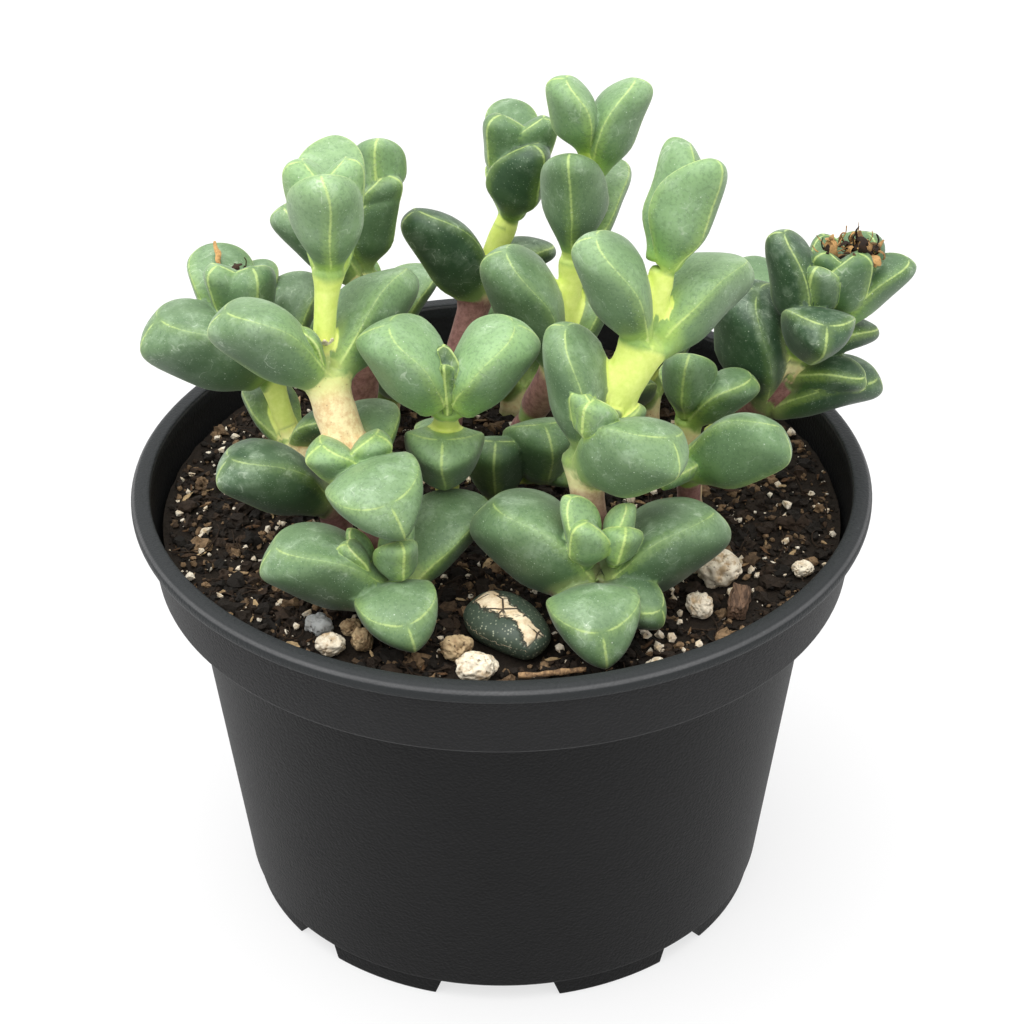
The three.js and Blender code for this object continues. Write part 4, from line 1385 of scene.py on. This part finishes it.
def crumb_drops(count, seed, smallest, largest, bias, flat=0.7, rise=0.25):
    """Crumbs on the bed: flat is their height for their width, rise how far they lie above it at most"""
    for x, y, size, draw in drop_places(count, seed, smallest, largest, bias):
        sizes = (size / 2 * draw.uniform(0.8, 1.3), size / 2 * draw.uniform(0.7, 1.1), size / 2 * flat)
        place = (x, y, ground_height(x, y) + size * draw.uniform(0, rise))
        turn = (draw.uniform(-0.5, 0.5), draw.uniform(-0.5, 0.5), draw.uniform(0, 6.3))
        yield place, sizes, turn, draw.random()


big_drops = crumb_drops(2000, seed=5, smallest=0.9, largest=3, bias=2.2)
small_drops = crumb_drops(7200, seed=6, smallest=0.4, largest=1.4, bias=1.6, rise=0.5)
big_crumbs = scatter("mix_crumbs_big", coarse_lumps, big_drops)
small_crumbs = scatter("mix_crumbs_small", fine_lumps, small_drops)
print("crumbs", len(big_crumbs.data.polygons) + len(small_crumbs.data.polygons), "faces")

# %% [markdown]
# Perlite is volcanic glass that was popped by heat, so its specks are white, rounded and a little tan where the
# mix has stained them. Husks are flat splinters of bark. Both are scattered in the same way as the crumbs.

# %% Perlite specks and husks
husk_half_height = 0.16


def husk_drops(count, seed):
    for x, y, size, draw in drop_places(count, seed, smallest=1.2, largest=3.6, bias=1.6):
        sizes = (size / 2, size / 2 * draw.uniform(0.18, 0.4), husk_half_height)
        place = (x, y, ground_height(x, y) + draw.uniform(0.3, 0.8))
        turn = (draw.uniform(-0.5, 0.5), draw.uniform(-0.35, 0.35), draw.uniform(0, 6.3))
        yield place, sizes, turn, draw.random()


speck_drops = crumb_drops(1500, seed=8, smallest=0.25, largest=1.7, bias=3.4, flat=0.85, rise=0.75)
specks = scatter("perlite_specks", fine_lumps, speck_drops)
husks = scatter("bark_husks", fine_lumps, husk_drops(620, seed=9))
print("specks", len(specks.data.polygons), "faces, husks", len(husks.data.polygons), "faces")

# %% [markdown]
# Thin dry roots and fibres loop over the crumbs. A fibre is a thread of one thickness, so it is drawn as a curve
# with a round bevel, which is quicker and cleaner than a tube of faces, and then made a mesh.

# %% Fibres
fibre_strides = 6


def draw_fibres(name, count, seed, thickness, reach):
    """Threads that wander over the bed; their reach is their length in millimetres, more or less"""
    threads = bpy.data.curves.new(name, "CURVE")
    threads.dimensions = "3D"
    threads.bevel_depth = thickness * mm
    threads.bevel_resolution = 0
    threads.resolution_u = 4
    threads.use_fill_caps = True
    for x, y, _, draw in drop_places(count, seed, smallest=1, largest=1.1, bias=1):
        heading = draw.uniform(0, 6.3)
        curl = draw.uniform(-0.9, 0.9)
        stride = reach * draw.uniform(0.5, 1.3) / fibre_strides
        stops = []
        for step in range(fibre_strides + 1):
            if math.hypot(x, y) < bed_radius - 0.6:
                lift = 0.35 + 0.9 * math.sin(math.pi * step / fibre_strides) * draw.random()
                stops.append((x, y, ground_height(x, y) + lift))
            heading += curl * draw.uniform(0.2, 1)
            x, y = x + stride * math.cos(heading), y + stride * math.sin(heading)
        if len(stops) < 4:
            continue
        thread = threads.splines.new("NURBS")
        thread.points.add(len(stops) - 1)
        for point, stop in zip(thread.points, stops):
            point.co = (*at(*stop), 1)
            point.radius = draw.uniform(0.6, 1.3)
        thread.order_u = 4
        thread.use_endpoint_u = True
    piece = bpy.data.objects.new(name, threads)
    scene.collection.objects.link(piece)
    select_only(piece)
    bpy.ops.object.convert(target="MESH")
    return bpy.context.object


fibres = draw_fibres("root_fibres", 380, seed=11, thickness=0.1, reach=8)
print("fibres", len(fibres.data.polygons), "faces")

# %% [markdown]
# Damp peat is nearly black, and the crumbs that have dried on top are brown or tan. One colour for all would look
# like tar, so the shade that each crumb carries picks between dark and brown, and the last share of them is pale.
# The bed under them is darker still, as damp peat and as painted shade, because it only shows in the shaded gaps
# between crumbs.

# %% Finishes of the mix
def crumb_finish(name, dark, brown, pale, share_pale):
    finish = Finish(name, specular_ior_level=0.25)
    shade = finish.mark("shade")
    grain = finish.clouds(0.6, 4, 0.65)
    colour = finish.mix(shade * shade, dark, brown)
    colour = finish.mix(finish.step(shade, 1 - share_pale, 1), colour, pale)
    colour = finish.mix(finish.step(grain, 0.35, 0.75) * 0.6, colour, dark)
    return finish.feed(base_color=colour, roughness=0.75 + grain * 0.2, normal=finish.bump(grain, 0.25, 0.8))


mix_dark = crumb_finish("damp_mix", dark=(0.009, 0.007, 0.005), brown=(0.055, 0.032, 0.018),
                        pale=(0.25, 0.16, 0.085), share_pale=0.26)
mix_brown = crumb_finish("bark_bits", dark=(0.03, 0.018, 0.01), brown=(0.22, 0.11, 0.045),
                         pale=(0.5, 0.36, 0.19), share_pale=0.35)
# painted shade: the bed is darker than the crumbs, for the shade in the gaps where it shows
bed_finish = Finish("mix_bed", specular_ior_level=0.2)
bed_grain = bed_finish.clouds(1.1, 5, 0.7)
bed_colour = bed_finish.mix(bed_grain, (0.005, 0.0045, 0.004), (0.028, 0.019, 0.012))
bed_finish.feed(base_color=bed_colour, normal=bed_finish.bump(bed_grain, 0.5, 0.9))
bed_finish.shader.inputs["Roughness"].default_value = 0.9

finish_piece(bed, bed_finish.material, "potting_mix", "soil")
for piece, material in ((big_crumbs, mix_dark), (small_crumbs, mix_dark), (husks, mix_brown), (fibres, mix_brown)):
    finish_piece(piece, material, "potting_mix")

# %% [markdown]
# ## Stones
# The larger pale pieces are popped grit as well: cream lumps with brown pits and stained hollows. A ball is
# subdivided finely, its points are pushed by noise, the pits are pressed in where a second noise peaks, and the
# lump is then stretched to its solid's box so that it lies just where the model says.

# %% Finish and fit of the stones
def stone_finish(name, pale, warm, dirt):
    finish = Finish(name, specular_ior_level=0.3)
    grain, stain = finish.clouds(0.5, 4, 0.65), finish.clouds(1.6, 4, 0.65)
    pits = finish.step(finish.cells(0.75), 0.3, 0.12) * finish.step(finish.clouds(1.3, 3), 0.42, 0.6)
    colour = finish.mix(finish.step(stain, 0.4, 0.7), pale, warm)
    colour = finish.mix(finish.step(grain, 0.6, 0.8) * 0.6, colour, dirt)
    colour = finish.mix(pits * 0.85, colour, dirt)
    height = grain * 0.5 - pits
    return finish.feed(base_color=colour, roughness=0.7 + grain * 0.2, normal=finish.bump(height, 0.22, 0.9))


def fit_to_box(piece, node, spare=0):
    """Stretch a piece to a solid's box, or to a box that is larger by a spare on all sides"""
    low, high = (np.array(corner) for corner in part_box(node))
    places = places_of(piece)
    least, most = places.min(0), places.max(0)
    share = (places - least) / (most - least)
    set_places(piece, low - spare * mm + share * (high - low + 2 * spare * mm))


cream_stone = stone_finish("cream_stone", (0.78, 0.7, 0.55), (0.46, 0.33, 0.19), (0.1, 0.06, 0.035))
tan_stone = stone_finish("tan_stone", (0.5, 0.37, 0.21), (0.26, 0.16, 0.08), (0.06, 0.035, 0.02))
grey_stone = stone_finish("grey_stone", (0.42, 0.43, 0.42), (0.3, 0.3, 0.28), (0.09, 0.08, 0.07))
other_stones = {2: tan_stone, 3: grey_stone, 4: tan_stone, 5: tan_stone}

# %% Stones
for number in stone_numbers:
    node = "stone_" + str(number)
    bpy.ops.mesh.primitive_ico_sphere_add(subdivisions=5, radius=1, location=(0, 0, 0))
    stone = name_newest("pale_" + node)
    places = places_of(stone)
    shift = Vector((number * 5.1, number * 2.3, 0))
    broad = np.array([noise.noise(Vector(place) * 0.9 + shift) for place in places])
    knobs = np.array([noise.noise(Vector(place) * 2.6 + shift) for place in places])
    pits = np.array([noise.noise(Vector(place) * 5.5 + shift) for place in places])
    swell = 1 + 0.28 * broad + 0.16 * knobs - 0.2 * smooth_step(0.15, 0.5, pits)
    set_places(stone, places * swell[:, None])
    turned = Euler((0.3 * number, 0.2 * number, number)).to_matrix()
    stone.data.transform(turned.to_4x4())
    fit_to_box(stone, node, 0.05)
    select_only(stone)
    bpy.ops.object.shade_smooth()
    finish_piece(stone, other_stones.get(number, cream_stone), "pale_stone", node)

perlite = stone_finish("perlite_speck", (0.8, 0.72, 0.58), (0.55, 0.42, 0.26), (0.25, 0.16, 0.09))
finish_piece(specks, perlite, "pale_stone")

# %% [markdown]
# ## Bark chip, twig and fallen leaf
# Three things lie loose on the mix. The chip is split wood, so its grain runs along it and its ends are broken.
# The twig is a thin dry stem. The old leaf has shrunk to a dark speckled oval, and a streak of its skin has dried to
# tan paper with dark cracks. They take their sizes from their solids.

# %% Split wood
def split_wood(name, node, size, turn, splits):
    """A lump of wood with ridges along its own length; size is half its measures"""
    bpy.ops.mesh.primitive_cube_add(size=2, location=(0, 0, 0))
    wood = name_newest(name)
    select_only(wood)
    bpy.ops.object.mode_set(mode="EDIT")
    bpy.ops.mesh.select_all(action="SELECT")
    bpy.ops.mesh.bevel(offset=0.35, segments=2)
    bpy.ops.mesh.subdivide(number_cuts=splits)
    bpy.ops.object.mode_set(mode="OBJECT")
    places = places_of(wood) * np.array(size)
    ridges = np.array([noise.noise(Vector((x * 2.6, y * 0.5, z * 2.6))) for x, y, z in places])
    broken = np.array([noise.noise(Vector((x * 1.7, y * 0.3, z * 1.7 + 4))) for x, y, z in places])
    places[:, 1] += broken * 0.5 * np.abs(places[:, 1]) / size[1]
    places[:, [0, 2]] *= (1 + 0.22 * ridges)[:, None]
    set_places(wood, places)
    wood.data.transform(Matrix.Rotation(math.radians(turn), 4, "Z"))
    fit_to_box(wood, node, 0.05)
    select_only(wood)
    bpy.ops.object.shade_smooth_by_angle(angle=math.radians(40))
    return wood


def wood_finish(name, pale, dark, turn):
    finish = Finish(name, specular_ior_level=0.25)
    lined_up = finish.node("ShaderNodeMapping", None, {
        "Vector": finish.place, "Rotation": (0, 0, math.radians(-turn)), "Scale": (1, 0.15, 1)})
    grain = finish.clouds(0.5, 4, 0.6, lined_up)
    colour = finish.mix(finish.step(grain, 0.3, 0.7), dark, pale)
    return finish.feed(base_color=colour, roughness=0.7 + grain * 0.2, normal=finish.bump(grain, 0.3, 0.9))


# %% Bark chip
chip_turn = -15
chip = split_wood("bark_chip_piece", "bark_chip", (1.6, 3.2, 1.5), chip_turn, splits=6)
finish_piece(chip, wood_finish("chip_wood", (0.2, 0.12, 0.075), (0.05, 0.03, 0.02), chip_turn), "bark", "bark_chip")

# %% Twig
twig_from, twig_to = Vector((2.5, -43, 62.1)), Vector((11.5, -42.5, 62.3))
twig = tube_pattern("dry_twig", 10, 24)
points = places_of(twig)
line = twig_to - twig_from
thickness = 0.42 + 0.12 * np.sin(points[:, 0] * 17) * np.sin(points[:, 0] * 7.1)
wander = np.array([noise.noise_vector(Vector((share * 2.2, 7, 1))) for share in points[:, 0]]) * 0.55
spot = np.array(twig_from) + np.outer(points[:, 0], line) + wander
spot[:, 1] += points[:, 1] * thickness
spot[:, 2] += points[:, 2] * thickness
set_places(twig, np.array(pot_axis) + spot * mm)
clean_shell(twig)
bpy.ops.object.shade_smooth()
finish_piece(twig, wood_finish("twig_bark", (0.42, 0.26, 0.13), (0.12, 0.07, 0.04), 90), "bark", "twig")

# %% [markdown]
# The old leaf needs two skins on one shape. A number on its points tells how far a point is along the oval and to
# its side, and the torn streak is where the side number, pushed about by noise, is small. Its underside gets a side
# number that is out of reach, so the streak stays on top.

# %% Finish of the fallen leaf
def fallen_leaf_finish():
    finish = Finish("old_leaf", specular_ior_level=0.4)
    run, side = finish.mark("run"), finish.mark("side")
    wide, middle, fine = finish.clouds(3.5, 4, 0.6), finish.clouds(1.2, 4, 0.7), finish.clouds(0.35, 3, 0.6)
    skin_colour = finish.mix(wide, (0.022, 0.035, 0.026), (0.075, 0.105, 0.07))
    pale_dots = finish.step(finish.cells(0.5), 0.36, 0.14) * finish.step(middle, 0.36, 0.56)
    skin_colour = finish.mix(pale_dots * 0.75, skin_colour, (0.4, 0.42, 0.3))
    torn = finish.absolute(side + 0.1 + (wide - 0.5) * 0.9) + (middle - 0.5) * 0.35
    inside = finish.step(run, -0.78, -0.7) * finish.step(run, 0.92, 0.84)
    patch = finish.step(torn, 0.3, 0.25) * inside
    border = finish.step(torn, 0.4, 0.3) * inside - patch
    cracks = finish.step(finish.cells(3.1, "DISTANCE_TO_EDGE"), 0.05, 0.025) * finish.step(wide, 0.42, 0.5)
    paper = finish.mix(finish.step(middle, 0.3, 0.7), (0.82, 0.7, 0.5), (0.55, 0.4, 0.23))
    paper = finish.mix(cracks * 0.95, paper, (0.03, 0.02, 0.012))
    colour = finish.mix(border * 0.7, skin_colour, (0.03, 0.02, 0.012))
    colour = finish.mix(patch, colour, paper)
    relief = finish.bump(patch * 0.6 - cracks * patch - border * 0.5 + fine * 0.2, 0.3, 0.8)
    return finish.feed(base_color=colour, roughness=0.45 + patch * 0.3 + fine * 0.1, normal=relief)


# %% Fallen leaf
old_length, old_width, old_height = 6.8, 4.4, 3.4
out_of_reach = 2
bpy.ops.mesh.primitive_uv_sphere_add(segments=64, ring_count=48, radius=1, location=(0, 0, 0),
                                     rotation=(0, math.pi / 2, 0))
old_leaf = name_newest("old_fallen_leaf")
settle(old_leaf)
oval = places_of(old_leaf)
note_on_points(old_leaf, "run", oval[:, 0])
note_on_points(old_leaf, "side", np.where(oval[:, 2] > 0, oval[:, 1], out_of_reach))
keel = np.maximum(0, -oval[:, 2]) * (1 - np.abs(oval[:, 1]))
width = old_width * (1 - 0.14 * oval[:, 0])
shape = np.column_stack((oval[:, 0] * old_length, oval[:, 1] * width, oval[:, 2] * old_height - keel * 0.8))
set_places(old_leaf, uneven(shape, 4, 0.6, 77))
old_leaf.data.transform(Matrix.Rotation(math.radians(-50), 4, "Z"))
fit_to_box(old_leaf, "fallen_leaf")
select_only(old_leaf)
bpy.ops.object.shade_smooth()
finish_piece(old_leaf, fallen_leaf_finish(), "dried_leaf", "fallen_leaf")

# %% [markdown]
# ## Sizes and hand-over
# The dressed plant has to keep the size of its solids, so the last line gives both boxes: first the one from before
# anything was added, and then the one of the finished pieces.

# %% Sizes and hand-over
[[list(corner) for corner in box] for box in (model_box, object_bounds())]
